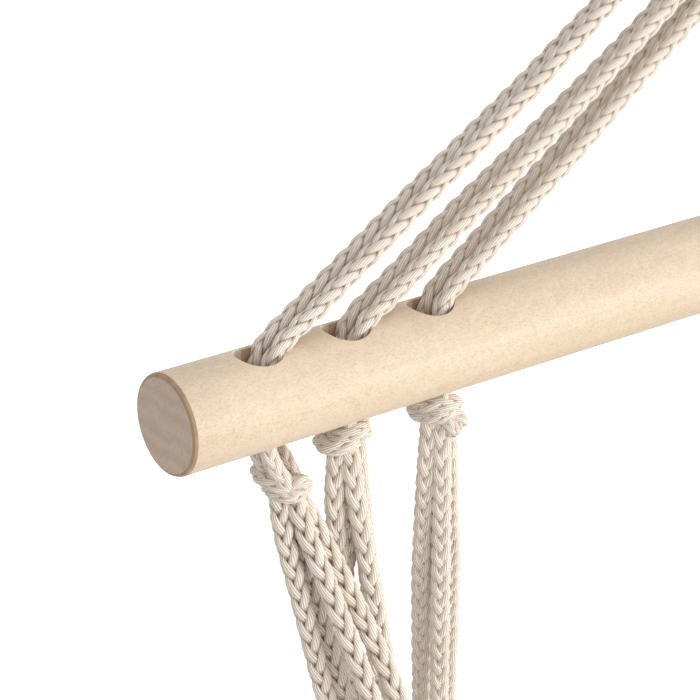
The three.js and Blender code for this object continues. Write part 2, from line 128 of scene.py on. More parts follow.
def unit(v):
    """The direction of a vector, or of each one in an array."""
    return v / np.linalg.norm(v, axis=-1, keepdims=True)


def deselect():
    bpy.ops.object.select_all(action="DESELECT")


def linked(name, data):
    made = bpy.data.objects.new(name, data)
    bpy.context.scene.collection.objects.link(made)
    return made


def belongs(piece, slot, body, *nodes):
    """Hides the nodes that the piece stands for and hangs the piece on the body that carries it. The slot is
    not used.
    """
    if nodes:
        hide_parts(*nodes)
    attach(piece, body)


# ---- finishes

class Nodes:
    """Short calls that add, set and link the nodes of one tree."""

    def __init__(self, tree):
        self.tree = tree

    def put(self, node, values):
        for key, value in dict(values).items():
            if isinstance(value, bpy.types.NodeSocket):
                self.tree.links.new(value, node.inputs[key])
            else:
                node.inputs[key].default_value = value
        return node

    def node(self, kind, values=(), **settings):
        made = self.tree.nodes.new("ShaderNode" + kind)
        for key, value in settings.items():
            setattr(made, key, value)
        return self.put(made, values)

    def math(self, operation, first, second):
        return self.node("Math", {0: first, 1: second}, operation=operation).outputs[0]

    def seen(self):
        """One where a ray shows the background: straight from the camera, in a gloss or through glass."""
        rays = self.node("LightPath").outputs
        first = self.math("MAXIMUM", rays["Is Camera Ray"], rays["Is Glossy Ray"])
        return self.math("MAXIMUM", first, rays["Is Transmission Ray"])


class Finish(Nodes):
    """A material with its shader."""

    def __init__(self, name, roughness, metallic=0.0):
        self.material = bpy.data.materials.new(name)
        self.material.use_nodes = True
        super().__init__(self.material.node_tree)
        self.shader = self.tree.nodes["Principled BSDF"]
        self.surface({"Roughness": roughness, "Metallic": metallic})

    def surface(self, values):
        self.put(self.shader, values)

    def place(self, scale=(1, 1, 1), source=None):
        if source is None:
            source = self.node("TexCoord").outputs["Object"]
        return self.node("Mapping", {"Vector": source, "Scale": scale}).outputs[0]

    def lay(self):
        return self.node("UVMap", uv_map="lay").outputs[0]

    def noise(self, vector, scale, detail=3.0, roughness=0.55):
        return self.node("TexNoise", {"Vector": vector, "Scale": scale, "Detail": detail,
                                      "Roughness": roughness}).outputs["Fac"]

    def wave(self, vector, direction, scale, distortion, detail, more=()):
        values = {"Vector": vector, "Scale": scale, "Distortion": distortion, "Detail": detail, **dict(more)}
        return self.node("TexWave", values, wave_type="BANDS", bands_direction=direction).outputs["Fac"]

    def ramp(self, value, *stops):
        made = self.node("ValToRGB", {"Fac": value})
        bar = made.color_ramp
        while len(bar.elements) < len(stops):
            bar.elements.new(0.5)
        for element, (spot, colour) in zip(bar.elements, stops):
            element.position = spot
            element.color = (*colour, 1)
        return made.outputs["Color"]

    def colour(self, first, *others):
        """The base colour, as the product of all that are given."""
        for other in others:
            first = self.node("Mix", {0: 1.0, 6: first, 7: other}, data_type="RGBA",
                              blend_type="MULTIPLY").outputs[2]
        self.surface({"Base Color": first})

    def bump(self, height, distance, strength, under=None):
        values = {"Height": height, "Distance": distance, "Strength": strength}
        if under is not None:
            values["Normal"] = under
        normal = self.node("Bump", values).outputs[0]
        self.surface({"Normal": normal})
        return normal


AS_IS = (1, 1, 1)
WAVE_SCALE_OF_ONE = math.pi / 10
CANVAS_THREADS = 1.25


def cotton_finish():
    f = Finish("braided_cotton", 0.88)
    lay = f.lay()
    yarns = f.wave(lay, "X", WAVE_SCALE_OF_ONE, 1.1, 1.5)
    wisps = f.noise(f.place((1.2, 0.35, 1), lay), 1.0)
    blotches = f.noise(f.place(), 130)
    crevice_shade_mask = f.node("Attribute", attribute_name="crevice_shade_mask").outputs["Fac"]
    # Painted shade: the yarn ramp darkens the grooves between yarns, and the crevice shade mask darkens the
    # cord to brown in the crevices between strands
    f.colour(f.ramp(yarns, (0.0, (0.61, 0.51, 0.42)), (0.34, (0.91, 0.83, 0.745)),
                    (0.8, (0.98, 0.925, 0.86))),
             f.ramp(wisps, (0.3, (0.90, 0.885, 0.865)), (0.7, AS_IS)),
             f.ramp(blotches, (0.35, (0.93, 0.91, 0.88)), (0.65, AS_IS)),
             f.ramp(crevice_shade_mask, (0.0, (0.27, 0.20, 0.145)), (0.28, (0.66, 0.575, 0.49)), (0.58, AS_IS)))
    f.surface({"Sheen Weight": 0.15, "Specular IOR Level": 0.2})
    f.bump(wisps, 0.00005, 0.5, f.bump(yarns, 0.00012, 0.8))
    return f.material


def wood_finish():
    f = Finish("pale_wood", 0.52)
    grain = f.noise(f.place((5, 60, 60)), 4, 4, 0.6)
    sand = f.noise(f.place((0.45, 1, 1)), 2100, 2, 0.7)
    cloud = f.noise(f.place(), 260, 3, 0.6)
    f.colour(f.ramp(grain, (0.25, (0.72, 0.58, 0.435)), (0.75, (0.785, 0.65, 0.505))),
             f.ramp(sand, (0.3, (0.85, 0.815, 0.77)), (0.55, AS_IS)),
             f.ramp(cloud, (0.35, (0.95, 0.94, 0.92)), (0.6, AS_IS)))
    f.surface({"Specular IOR Level": 0.3})
    f.bump(sand, 0.00006, 0.5, f.bump(grain, 0.00004, 0.4))
    return f.material


def end_grain_finish():
    f = Finish("end_grain", 0.75)
    pores = f.noise(f.place((300, 900, 900)), 1.0, 4, 0.7)
    rings = f.wave(f.place(), "Z", 55.0, 6.0, 2.0, {"Detail Scale": 1.5})
    f.colour(f.ramp(rings, (0.0, (0.515, 0.40, 0.317)), (1.0, (0.57, 0.447, 0.36))),
             f.ramp(pores, (0.30, (0.76, 0.71, 0.66)), (0.46, AS_IS)))
    f.bump(pores, 0.0001, 0.6)
    return f.material


def clouded_finish(name, dark, light, roughness, scale, noise, strength):
    """A finish of two tones that run into each other, such as the darker wood of the chamfer and the bores,
    or thread.
    """
    f = Finish(name, roughness)
    tone = f.noise(f.place(scale), *noise)
    f.colour(f.ramp(tone, (0.3, dark), (0.7, light)))
    f.bump(tone, 0.0001, strength)
    return f.material


def metal_finish(name, dark, light, roughness):
    f = Finish(name, roughness, 1.0)
    cloud = f.noise(f.place(), 60, 4)
    f.colour(f.ramp(cloud, (0.3, dark), (0.7, light)))
    spread = f.node("MapRange", {"Value": cloud, "To Min": roughness - 0.07, "To Max": roughness + 0.1})
    f.surface({"Roughness": spread.outputs["Result"]})
    f.bump(f.noise(f.place(), 900, 2), 0.00002, 0.35)
    return f.material


def canvas_finish(name, dark, light):
    """Plain weave on the sheet's own UV map, whose unit is one millimetre."""
    f = Finish(name, 0.92)
    lay = f.lay()
    warp, weft = (f.wave(lay, way, WAVE_SCALE_OF_ONE * CANVAS_THREADS, 0.5, 1.0) for way in "XY")
    weave = f.math("MULTIPLY", warp, weft)
    f.colour(f.ramp(weave, (0.0, tuple(0.86 * c for c in light)), (0.6, light)),
             f.ramp(f.noise(f.place(), 9, 4), (0.3, tuple(d / l for d, l in zip(dark, light))), (0.7, AS_IS)),
             f.ramp(f.noise(f.place((0.02, 0.8, 1), lay), 1.0), (0.3, (0.93, 0.92, 0.90)), (0.6, AS_IS)),
             f.ramp(f.noise(f.place((0.8, 0.02, 1), lay), 1.0), (0.3, (0.94, 0.93, 0.91)), (0.6, AS_IS)))
    f.surface({"Sheen Weight": 0.12, "Specular IOR Level": 0.2})
    f.bump(weave, 0.0003, 0.7)
    return f.material


# ---- camera, light, floor

def place_camera():
    lens = bpy.data.cameras.new("camera")
    lens.lens, lens.sensor_width = CAMERA_LENS, CAMERA_SENSOR
    lens.clip_start, lens.clip_end = CAMERA_NEAR, CAMERA_FAR
    camera = linked("camera", lens)
    turn = Matrix((CAMERA_RIGHT, CAMERA_UP, TO_CAMERA)).transposed()
    camera.matrix_world = Matrix.Translation(CAMERA_PLACE) @ turn.to_4x4()
    bpy.context.scene.camera = camera


def light_scene():
    """A broad lamp, and a sky that is white where it is seen and grows stronger towards the right."""
    lamp = bpy.data.lights.new("lamp", "SUN")
    lamp.energy, lamp.angle, lamp.color = LAMP_STRENGTH, math.radians(LAMP_ANGLE), LAMP_COLOUR
    holder = linked("lamp", lamp)
    holder.rotation_mode = "QUATERNION"
    holder.rotation_quaternion = Vector(LAMP_FROM).to_track_quat("Z", "Y")
    world = bpy.data.worlds.new("sky")
    bpy.context.scene.world = world
    world.use_nodes = True
    sky = Nodes(world.node_tree)
    way = sky.node("TexCoord").outputs["Generated"]
    across = sky.node("VectorMath", {0: way, 1: CAMERA_RIGHT}, operation="DOT_PRODUCT").outputs["Value"]
    fill = sky.node("MapRange", {"Value": across, "From Min": -1.0, "To Min": SKY_LEFT, "To Max": SKY_RIGHT})
    level = sky.node("MapRange", {"Value": sky.seen(), "To Min": fill.outputs["Result"]})
    sky.put(sky.tree.nodes["Background"], {"Color": WHITE, "Strength": level.outputs["Result"]})


def lay_floor():
    deselect()
    bpy.ops.mesh.primitive_plane_add(size=2 * FLOOR_HALF, location=(0, 0, FLOOR_HEIGHT))
    floor = settle(bpy.context.object, "floor")
    f = Finish("pale_floor", 0.95)
    f.surface({"Base Color": FLOOR_COLOUR, "Specular IOR Level": 0})
    glow = f.node("Emission", {"Color": WHITE, "Strength": f.math("MULTIPLY", f.seen(), FLOOR_GLOW)})
    both = f.node("AddShader", {0: f.shader.outputs[0], 1: glow.outputs[0]})
    f.put(f.tree.nodes["Material Output"], {"Surface": both.outputs[0]})
    floor.data.materials.append(f.material)


# ---- lines that the cords follow

ROUNDING_STEP, SMALLEST_TURN = math.radians(8), math.radians(2)


def rounded(corners, radius):
    """The corners of a run turned into arcs, each within half of its two straight parts."""
    points = [corners[0]]
    for before, corner, after in zip(corners, corners[1:], corners[2:]):
        back, ahead = unit(before - corner), unit(after - corner)
        half = math.acos(max(-1.0, min(1.0, float(back @ ahead)))) / 2
        if math.pi - 2 * half < SMALLEST_TURN:
            points.append(corner)
            continue
        room = min(np.linalg.norm(before - corner), np.linalg.norm(after - corner)) / 2
        reach = min(radius / math.tan(half), room)
        centre = corner + unit(back + ahead) * reach / math.cos(half)
        start, end = corner + back * reach - centre, corner + ahead * reach - centre
        turn = math.acos(float(unit(start) @ unit(end)))
        steps = math.ceil(turn / ROUNDING_STEP)
        for i in range(steps + 1):
            share = i / steps
            spot = start * math.sin((1 - share) * turn) + end * math.sin(share * turn)
            points.append(spot / math.sin(turn) + centre)
    points.append(corners[-1])
    return points


def lengths_along(points):
    return np.concatenate([[0], np.cumsum(np.linalg.norm(np.diff(points, axis=0), axis=1))])


def at_lengths(points, wanted):
    reached = lengths_along(points)
    return np.stack([np.interp(wanted, reached, points[:, axis]) for axis in range(3)], axis=1)


SOFTEN_STEP, SOFTEN_REACH = 0.5, 3
THREAD_SOFT, THREAD_STEPS = 0.8, 12


def softened(points, spread):
    """The run at even steps, with its corners eased over the given spread."""
    points = np.array(points)
    total = lengths_along(points)[-1]
    line = at_lengths(points, np.linspace(0, total, int(total / SOFTEN_STEP) + 1))
    reach = int(SOFTEN_REACH * spread / SOFTEN_STEP)
    weights = np.exp(-0.5 * (np.arange(-reach, reach + 1) * SOFTEN_STEP / spread) ** 2)
    weights /= weights.sum()
    before = 2 * line[0] - line[reach:0:-1]
    after = 2 * line[-1] - line[-2:-reach - 2:-1]
    long = np.concatenate([before, line, after])
    return np.stack([np.convolve(long[:, axis], weights, "valid") for axis in range(3)], axis=1)


def threaded(points):
    """A smooth curve through all the points."""
    points = np.array(points, float)
    full = np.concatenate([[2 * points[0] - points[1]], points, [2 * points[-1] - points[-2]]])
    made = []
    for a, b, c, d in zip(full, full[1:], full[2:], full[3:]):
        for i in range(THREAD_STEPS):
            t = i / THREAD_STEPS
            made.append(0.5 * (2 * b + (c - a) * t + (2 * a - 5 * b + 4 * c - d) * t ** 2
                               + (3 * b - a - 3 * c + d) * t ** 3))
    made.append(points[-1])
    return softened(made, THREAD_SOFT)


def hole_out(index):
    return BAR_HALF - HOLE_FROM_END - index * HOLE_PITCH


def knot_centre(side, index):
    inward, forward, drop = KNOT_PLACES[index]
    return vec(side * (hole_out(index) - inward), -forward, BAR_HEIGHT - drop)


TOUCH = CORD + CLEARANCE
RING_ANGLE, RING_SPREAD = 213, 1.06
RING_SHARE = 0.83
LEAN_IN_HOLE, LEAN_IN_KNOT = 0.9, 0.8
HALF_TURN_STEPS = 14
UPPER_SOFT, LOWER_SOFT, LOWER_SPREAD_SOFT, KNOT_CORE_SHARE = 2.4, 1.6, 4, 0.55

# By share of the way from hole to ring: how far a pair turns, in degrees, and hangs low, in mm
PAIR_TURN = [(0, 0), (0.10, 1), (0.15, 6), (0.20, 13), (0.26, 20), (0.30, 23), (0.50, 26), (0.83, 10)]
PAIR_LOW = [
    [(0, 2.0), (0.02, 2.4), (0.04, 2.5), (0.16, 2.7), (0.20, 3.1), (0.24, 3.0), (0.28, 1.9), (0.75, 0)],
    [(0, 1.8), (0.02, 2.4), (0.035, 2.9), (0.05, 3.1), (0.10, 3.3), (0.15, 4.6), (0.20, 5.3), (0.27, 5.7),
     (0.75, 0)],
    [(0, 1.0), (0.04, 1.1), (0.09, 1.0), (0.15, 1.3), (0.19, 0.8), (0.24, 0.9), (0.75, 0)],
]
PAIR_SPOTS = [0.0, 0.03, 0.06, 0.10, 0.14, 0.18, 0.22, 0.26, 0.30, 0.38, 0.50, 0.66]


def by_share(stops, share):
    return float(np.interp(share, [stop[0] for stop in stops], [stop[1] for stop in stops]))


def upper_route(side, index):
    angle = math.radians(RING_ANGLE) + (index - 1) * TOUCH / RING_RADIUS * RING_SPREAD
    on_ring = vec(-side * RING_RADIUS * math.cos(angle), 0, RING_CENTRE + RING_RADIUS * math.sin(angle))
    x = side * (hole_out(index) - LEAN_IN_HOLE)
    mouth = vec(side * (hole_out(index) + CLEARANCE), 0, BAR_HEIGHT + BAR_RADIUS - HOLE_ROUNDING / 2)
    pull = unit(mouth - on_ring)
    down = vec(side * pull[2], 0, -side * pull[0])

    def beside(half, share):
        turn = math.radians(by_share(PAIR_TURN, share))
        point = mouth + (on_ring - mouth) * share + down * by_share(PAIR_LOW[index], share)
        return point + vec(0, half * math.cos(turn), 0) + down * half * math.sin(turn)

    centre = knot_centre(side, index)
    top = centre[2] + KNOT_HIGH / 2 + CLEARANCE

    def leg(half):
        into_knot = [
            vec(centre[0], centre[1] + half * LEAN_IN_KNOT, centre[2]),
            vec(centre[0], centre[1] + half, top),
        ]
        run = rounded((into_knot if index else []) + [
            vec(x, half, BAR_HEIGHT - BAR_RADIUS / 2),
            vec(x, half, BAR_HEIGHT),
            beside(half, PAIR_SPOTS[0]),
            beside(half, PAIR_SPOTS[1]),
        ], CORD_BEND)
        return run + [beside(half, share) for share in PAIR_SPOTS[2:] + [RING_SHARE]]

    reach = RING_WIRE + CLEARANCE + CORD / 2
    turns = [math.pi * i / HALF_TURN_STEPS for i in range(HALF_TURN_STEPS + 1)]
    bight = [on_ring - pull * reach * math.sin(t) - vec(0, reach * math.cos(t), 0) for t in turns]
    return softened(leg(-TOUCH / 2) + bight + leg(TOUCH / 2)[::-1], UPPER_SOFT)


def on_curve(key, share):
    rest = 1 - share
    return rest ** 2 * EDGE_FRONT[key] + 2 * share * rest * EDGE_GUIDE[key] + share ** 2 * EDGE_REAR[key]


def edge_point(side, share):
    out, behind, below = (on_curve(key, share) for key in ("out", "behind", "below"))
    return vec(side * out, behind, BAR_HEIGHT - below)


EDGE_SAMPLES = 200
EDGE_SHARES = np.linspace(0, 1, EDGE_SAMPLES + 1)
EDGE_LENGTHS = lengths_along(np.array([edge_point(1, share) for share in EDGE_SHARES]))
EDGE_LENGTH = EDGE_LENGTHS[-1]
CORD_FROM_EDGE = BAND_THICK / 2 + EYELET_EASE + CORD / 2


def share_at(length):
    return float(np.interp(length, EDGE_LENGTHS, EDGE_SHARES))


def eyelet_length(index):
    return EYELET_FROM_END + index * (EDGE_LENGTH - 2 * EYELET_FROM_END) / (EYELET_COUNT - 1)


def edge_frame(side, length):
    """Point, directions ahead along the edge, down in the cloth's plane, and to its inner face."""
    share, small = share_at(length), 1 / EDGE_SAMPLES
    point = edge_point(side, share)
    ahead = unit(edge_point(side, share + small) - edge_point(side, share - small))
    out = hole_out(0) + (hole_out(2) - hole_out(0)) * share
    pull = unit(vec(side * out, 0, HINGE_HEIGHT) - point)
    fall = -unit(pull - ahead * (pull @ ahead))
    inner = unit(np.cross(ahead, fall))
    if inner[0] * side > 0:
        inner = -inner
    return point, ahead, fall, inner


# Where round its knot each lower cord starts, in degrees
TAIL_DEGREES = [[8, -82, 98, 188], [-82, 188, 8, 98], [-82, 188, 8, 98]]

# How far each lower cord is spread to the right in the picture, in mm, at these lengths from its knot
SPREAD_AT = [0, 15, 32, 60, 520]
SPREAD = [
    [(0.6, 6.2, 7.7, 9.6, 0), (1.2, 3.1, 3.8, 4.5, 0), (1.6, 4.9, 5.3, 5.1, 0), (0.6, 3.3, 3.2, 2.6, 0)],
    [(0, 0, 0, 0, 0), (0.7, 0.7, -0.3, -2.0, 0), (2.1, 2.1, 2.1, 2.1, 0), (3.4, 4.3, 4.7, 0.4, 0)],
    [(-1.0, -2.4, -2.3, -2.2, 0), (-0.2, 0.0, -0.7, -1.7, 0), (0.8, 0.6, 0.9, 2.2, 0),
     (1.6, 1.4, 0.9, 0.2, 0)],
]


def tail_start(side, index, tail):
    """Where a lower cord leaves its knot, and the direction straight away from the hinge line."""
    centre = knot_centre(side, index)
    _, forward, drop = KNOT_PLACES[index]
    angle = math.radians(TAIL_DEGREES[index][tail])
    offset = TOUCH / math.sqrt(2)
    x = centre[0] - side * offset * math.cos(angle)
    y = centre[1] + offset * math.sin(angle)
    reach = math.hypot(KNOT_DEPTH / 2 + abs(forward), drop - HINGE_DROP + KNOT_HIGH / 2) + KNOT_TAIL
    away = unit(vec(0, y, -math.sqrt(reach ** 2 - y ** 2)))
    return vec(x, away[1] * reach, HINGE_HEIGHT + away[2] * reach), away


def lower_route(side, loop):
    first = loop * 2
    index = loop // 2
    first_tail = first % len(TAIL_DEGREES[index])
    centre = knot_centre(side, index)
    turns = []
    for spot in (first, first + 1):
        point, _, _, inner = edge_frame(side, eyelet_length(spot))
        turns.append([point + inner * CORD_FROM_EDGE, point - inner * CORD_FROM_EDGE])
    tops = []
    for tail in (first_tail, first_tail + 1):
        point, away = tail_start(side, index, tail)
        core = centre + (point - centre) * vec(KNOT_CORE_SHARE, KNOT_CORE_SHARE, 0)
        tops.append([core, point + away * CORD / 2])
    corners = tops[0] + turns[0] + turns[1][::-1] + tops[1][::-1]
    line = softened(rounded(corners, CORD_FROM_EDGE), LOWER_SOFT)
    reached = lengths_along(line)
    across = unit(vec(-side * CAMERA_RIGHT[0], CAMERA_RIGHT[1], 0))
    for tail, run in ((first_tail, reached), (first_tail + 1, reached[-1] - reached)):
        line = line + np.interp(run, SPREAD_AT, SPREAD[index][tail])[:, None] * across
    return softened(line, LOWER_SPREAD_SOFT)


# ---- braided cords

def mesh_object(name, paint, points, quads, uv=None, caps=(), crevice_shade_mask=None):
    """An object from points in mm and quads, with a smooth surface, a UV pair for each corner, and for each
    point the mask of the painted shade in its cord's crevices."""
    loops = np.concatenate([quads.ravel(), *caps]).astype(np.int32)
    sizes = np.array([4] * len(quads) + [len(cap) for cap in caps], np.int32)
    starts = np.concatenate([[0], np.cumsum(sizes)[:-1]]).astype(np.int32)
    mesh = bpy.data.meshes.new(name)
    mesh.vertices.add(len(points))
    mesh.vertices.foreach_set("co", (points * MM).astype(np.float32).ravel())
    mesh.loops.add(len(loops))
    mesh.loops.foreach_set("vertex_index", loops)
    mesh.polygons.add(len(sizes))
    mesh.polygons.foreach_set("loop_start", starts)
    mesh.polygons.foreach_set("loop_total", sizes)
    mesh.polygons.foreach_set("use_smooth", np.ones(len(sizes), bool))
    if uv is not None:
        full = np.zeros((len(loops), 2), np.float32)
        full[:len(uv)] = uv
        mesh.uv_layers.new(name="lay").data.foreach_set("uv", full.ravel())
    if crevice_shade_mask is not None:
        mesh.attributes.new("crevice_shade_mask", "FLOAT", "POINT").data.foreach_set("value", crevice_shade_mask.astype(np.float32))
    mesh.update(calc_edges=True)
    mesh.validate()
    mesh.materials.append(paint)
    return linked(name, mesh)


def carried_normals(tangents, first):
    """Directions across the cord that don't turn round it from one point to the next."""
    normals = np.zeros_like(tangents)
    normal = first
    for i, tangent in enumerate(tangents):
        normal = unit(normal - tangent * (normal @ tangent))
        normals[i] = normal
    return normals


def tube(rings, sides):
    """The quads and end caps of a tube whose points go round it, ring by ring."""
    k, j = (a.ravel() for a in np.meshgrid(np.arange(rings - 1), np.arange(sides), indexing="ij"))
    after = (j + 1) % sides
    quads = np.stack([k * sides + j, k * sides + after, (k + 1) * sides + after, (k + 1) * sides + j], axis=1)
    first = np.arange(sides)
    return quads, [first[::-1], first + (rings - 1) * sides]


def joined_parts(parts):
    points, quads, uvs, caps, crevice_shade_mask = zip(*parts)
    starts = np.cumsum([0] + [len(some) for some in points])
    return (np.concatenate(points), np.concatenate([some + start for some, start in zip(quads, starts)]),
            np.concatenate(uvs), [cap + start for some, start in zip(caps, starts) for cap in some],
            np.concatenate(crevice_shade_mask))


def braid_parts(line, pitch, sides, squeeze, facings, slide, middle=BRAID_MIDDLE, rise=BRAID_RISE,
                crevice=SHADE_DARKEST_AT):
    """Points, quads, UVs, end caps and painted crevice shade mask of a braided cord. A facing is a length
    along the cord, a direction, and the braid angle that turns towards it there."""
    reached = lengths_along(line)
    tangents = unit(np.gradient(line, reached, axis=0))
    normals = carried_normals(tangents, unit(np.cross(tangents[0], vec(0.3, 0.2, 0.1))))
    binormals = np.cross(tangents, normals)
    twists = []
    for length, direction, braid_angle in facings:
        i = int(np.argmin(abs(reached - length)))
        twist = math.atan2(direction @ binormals[i], direction @ normals[i]) - braid_angle
        if twists:
            twist += math.pi * round((twists[-1] - twist) / math.pi)
        twists.append(twist)
    twist = np.interp(reached, [facing[0] for facing in facings], twists)
    around = (np.arange(sides) * 2 * np.pi / sides)[None, :, None]
    quads, caps = tube(len(line), sides)
    share = (quads[:, :1] % sides + [0, 1, 1, 0]) / sides
    strands = []
    for way in (1, -1):
        for strand in range(STRANDS_EACH_WAY):
            turn = way * 2 * np.pi * (reached + slide) / pitch + strand * np.pi / 2
            swing = 2 * (turn - np.pi / 8)
            angle = (turn - way * BRAID_SWAY * np.sin(swing) + twist)[:, None]
            depth = squeeze * (middle + way * rise * np.cos(swing))
            radial = np.cos(angle) * normals + np.sin(angle) * binormals
            core = line + depth[:, None] * radial
            ahead = unit(np.gradient(core, axis=0))
            side = unit(np.cross(ahead, radial))
            up = np.cross(side, ahead)
            wide = squeeze * STRAND_HALF_WIDE * np.cos(around) * side[:, None, :]
            thick = squeeze * STRAND_HALF_THICK * np.sin(around) * up[:, None, :]
            surface = core[:, None, :] + wide + thick
            out = np.linalg.norm(surface - line[:, None, :], axis=2).ravel() / squeeze
            # Painted shade: the deeper a point lies in the cord, the darker its colour
            crevice_shade_mask = np.clip((out - crevice) / (SHADE_NONE_AT - crevice), 0, 1)
            far = lengths_along(core)[quads // sides]
            uvs = np.stack([YARNS * share + YARN_LEAN[way] * far, far], axis=2).reshape(-1, 2)
            strands.append((surface.reshape(-1, 3), quads, uvs, caps, crevice_shade_mask))
    return joined_parts(strands)


def stations(line, fine_from_ends):
    """The line at close steps near both of its ends, and at plain steps between them."""
    total = lengths_along(line)[-1]
    reach = min(fine_from_ends, total / 2)
    near = np.arange(0, reach, FINE_STEP)
    middle = np.linspace(reach, total - reach, int((total - 2 * reach) / PLAIN_STEP) + 2)
    return at_lengths(line, np.unique(np.concatenate([near, middle, total - near]).round(4)))


def braided(name, paint, near, route, in_view, lay, full, facing, angles, **settings):
    """A cord that turns one side of its braid towards the viewer near each of its ends."""
    line = stations(route, in_view if near else 0)
    total = lengths_along(line)[-1]
    toward = TO_CAMERA if near else TO_CAMERA * vec(-1, 1, 1)
    facings = [(facing, toward, angles[0]), (total - facing, toward, angles[1])]
    parts = braid_parts(line, lay, SIDES_NEAR if near else SIDES_FAR, full, facings, **settings)
    return mesh_object(name, paint, *parts)


def lay_cords(paint):
    for name, side in SIDES.items():
        for index, place in enumerate(PLACES):
            piece = braided(f"upper_rope_{name}_{place}", paint, side < 0, upper_route(side, index),
                            UPPER_IN_VIEW, LAY_UPPER, UPPER_FULL, UPPER_FACING, (COLUMN_WITH, COLUMN_ACROSS),
                            slide=index * SLIDE_UPPER, crevice=SHADE_DARKEST_AT_UPPER[index], **UPPER_BRAID)
            belongs(piece, "cord", "bar", f"upper_cord_{name}_{place}")
        for loop in range(EYELET_COUNT // 2):
            piece = braided(f"seat_rope_{name}_{loop + 1}", paint, side < 0, lower_route(side, loop),
                            LOWER_IN_VIEW, LAY_LOWER[loop], LOWER_FULL, LOWER_FACING, (V_ALONG, V_AGAINST),
                            slide=loop * SLIDE_LOWER, crevice=SHADE_DARKEST_AT_LOWER[loop])
            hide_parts(f"seat_cord_{name}_{loop + 1}")
            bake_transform(piece)


# ---- knots

# Each near knot's turns: how thick the cord is there, and points across and up in the picture, and
# towards the viewer, in mm from the knot's centre
KNOT_TURNS = [
    [  # outer
        (0.90, [(-4.1, 17.8, 13.9), (-4.0, 12.5, 11.4), (-3.2, 8.8, 9.4), (-1.8, 5.6, 7.8), (-0.2, 3.0, 6.6),
                (1.3, 0.8, 5.4), (2.3, -1.0, 3.0), (2.4, -2.2, 0.0)]),
        (0.80, [(-7.8, 19.7, 9.2), (-7.6, 13.0, 6.6), (-6.8, 8.8, 5.2), (-5.2, 6.6, 4.2), (-2.8, 5.0, 3.0),
                (-0.6, 3.6, 1.0)]),
        (0.80, [(-4.0, 6.6, -3.6), (-1.8, 9.8, -3.0), (0.2, 9.4, -1.4), (1.4, 6.9, -0.2), (2.6, 4.8, 0.4),
                (3.6, 2.8, 0.2), (3.6, 0.6, -1.4)]),
        (0.84, [(-2.5, 6.3, -5.0), (-5.2, 5.6, -3.4), (-6.7, 4.5, -0.4), (-6.1, 2.8, 2.6), (-4.0, 1.6, 4.4),
                (-1.8, 0.6, 5.2), (0.4, -0.5, 4.6), (2.2, -1.6, 2.4)]),
        (0.70, [(-1.0, 1.4, -5.6), (-3.2, 0.4, -3.6), (-3.9, -0.7, -0.4), (-2.8, -1.6, 2.6),
                (-0.9, -2.5, 4.4), (1.4, -3.1, 5.2), (3.6, -3.0, 4.8), (5.6, -1.9, 3.2), (6.6, -0.6, 0.4)]),
        (0.76, [(0.6, -1.4, 2.4), (2.4, -0.5, 4.2), (4.2, 0.9, 4.9), (5.9, 1.5, 4.2), (6.8, 0.5, 1.8),
                (6.4, -0.9, -1.2), (4.2, -1.4, -4.0), (1.0, -1.0, -5.4), (-2.0, 0.4, -5.4)]),
    ],
    [  # middle
        (0.92, [(1.0, 2.0, -5.4), (-2.6, 1.8, -4.6), (-5.2, 0.4, -2.4), (-5.8, -1.4, 0.8), (-3.8, -2.3, 3.8),
                (-0.8, -2.1, 5.2), (2.0, -1.4, 4.4), (3.4, -0.6, 1.6)]),
        (0.90, [(-2.4, 0.2, 1.6), (0.0, 0.9, 4.2), (2.8, 1.7, 5.0), (5.2, 2.4, 3.8), (6.3, 2.5, 1.0),
                (5.2, 1.2, -2.6), (1.6, 0.4, -5.2)]),
        (0.66, [(-5.0, 1.4, -0.4), (-2.4, 2.8, 2.2), (1.0, 4.0, 3.0), (4.4, 5.0, 2.2), (6.4, 5.2, -0.6),
                (4.6, 4.2, -4.0)]),
    ],
    [  # inner
        (0.95, [(-3.0, 1.8, -4.8), (-5.4, 2.4, -1.4), (-4.4, 2.6, 2.4), (-1.4, 2.9, 4.8), (1.8, 3.2, 5.2),
                (4.2, 3.2, 3.6), (4.8, 2.6, 0.4), (3.2, 1.8, -3.6)]),
        (0.76, [(-3.4, -0.2, -4.4), (-5.8, -0.3, -1.6), (-4.4, -0.8, 2.2), (-1.4, -1.2, 4.4),
                (1.2, -0.8, 4.6), (3.4, 0.4, 3.2), (4.6, 1.2, 0.2)]),
        (0.74, [(-2.6, 3.0, -4.0), (-6.4, 2.4, -3.0), (-7.2, 0.8, -0.4), (-5.2, -0.4, 2.0),
                (-2.6, -0.6, 2.8)]),
        (0.72, [(0.0, -0.4, 3.0), (2.2, -1.8, 4.0), (4.0, -3.6, 3.4), (4.8, -6.0, 2.0)]),
        (0.82, [(3.2, 0.2, 1.4), (5.8, -0.8, 0.6), (7.2, -2.0, -1.0), (6.2, -3.2, -3.2), (3.0, -2.2, -5.0),
                (-2.0, -1.2, -5.2)]),
    ],
]


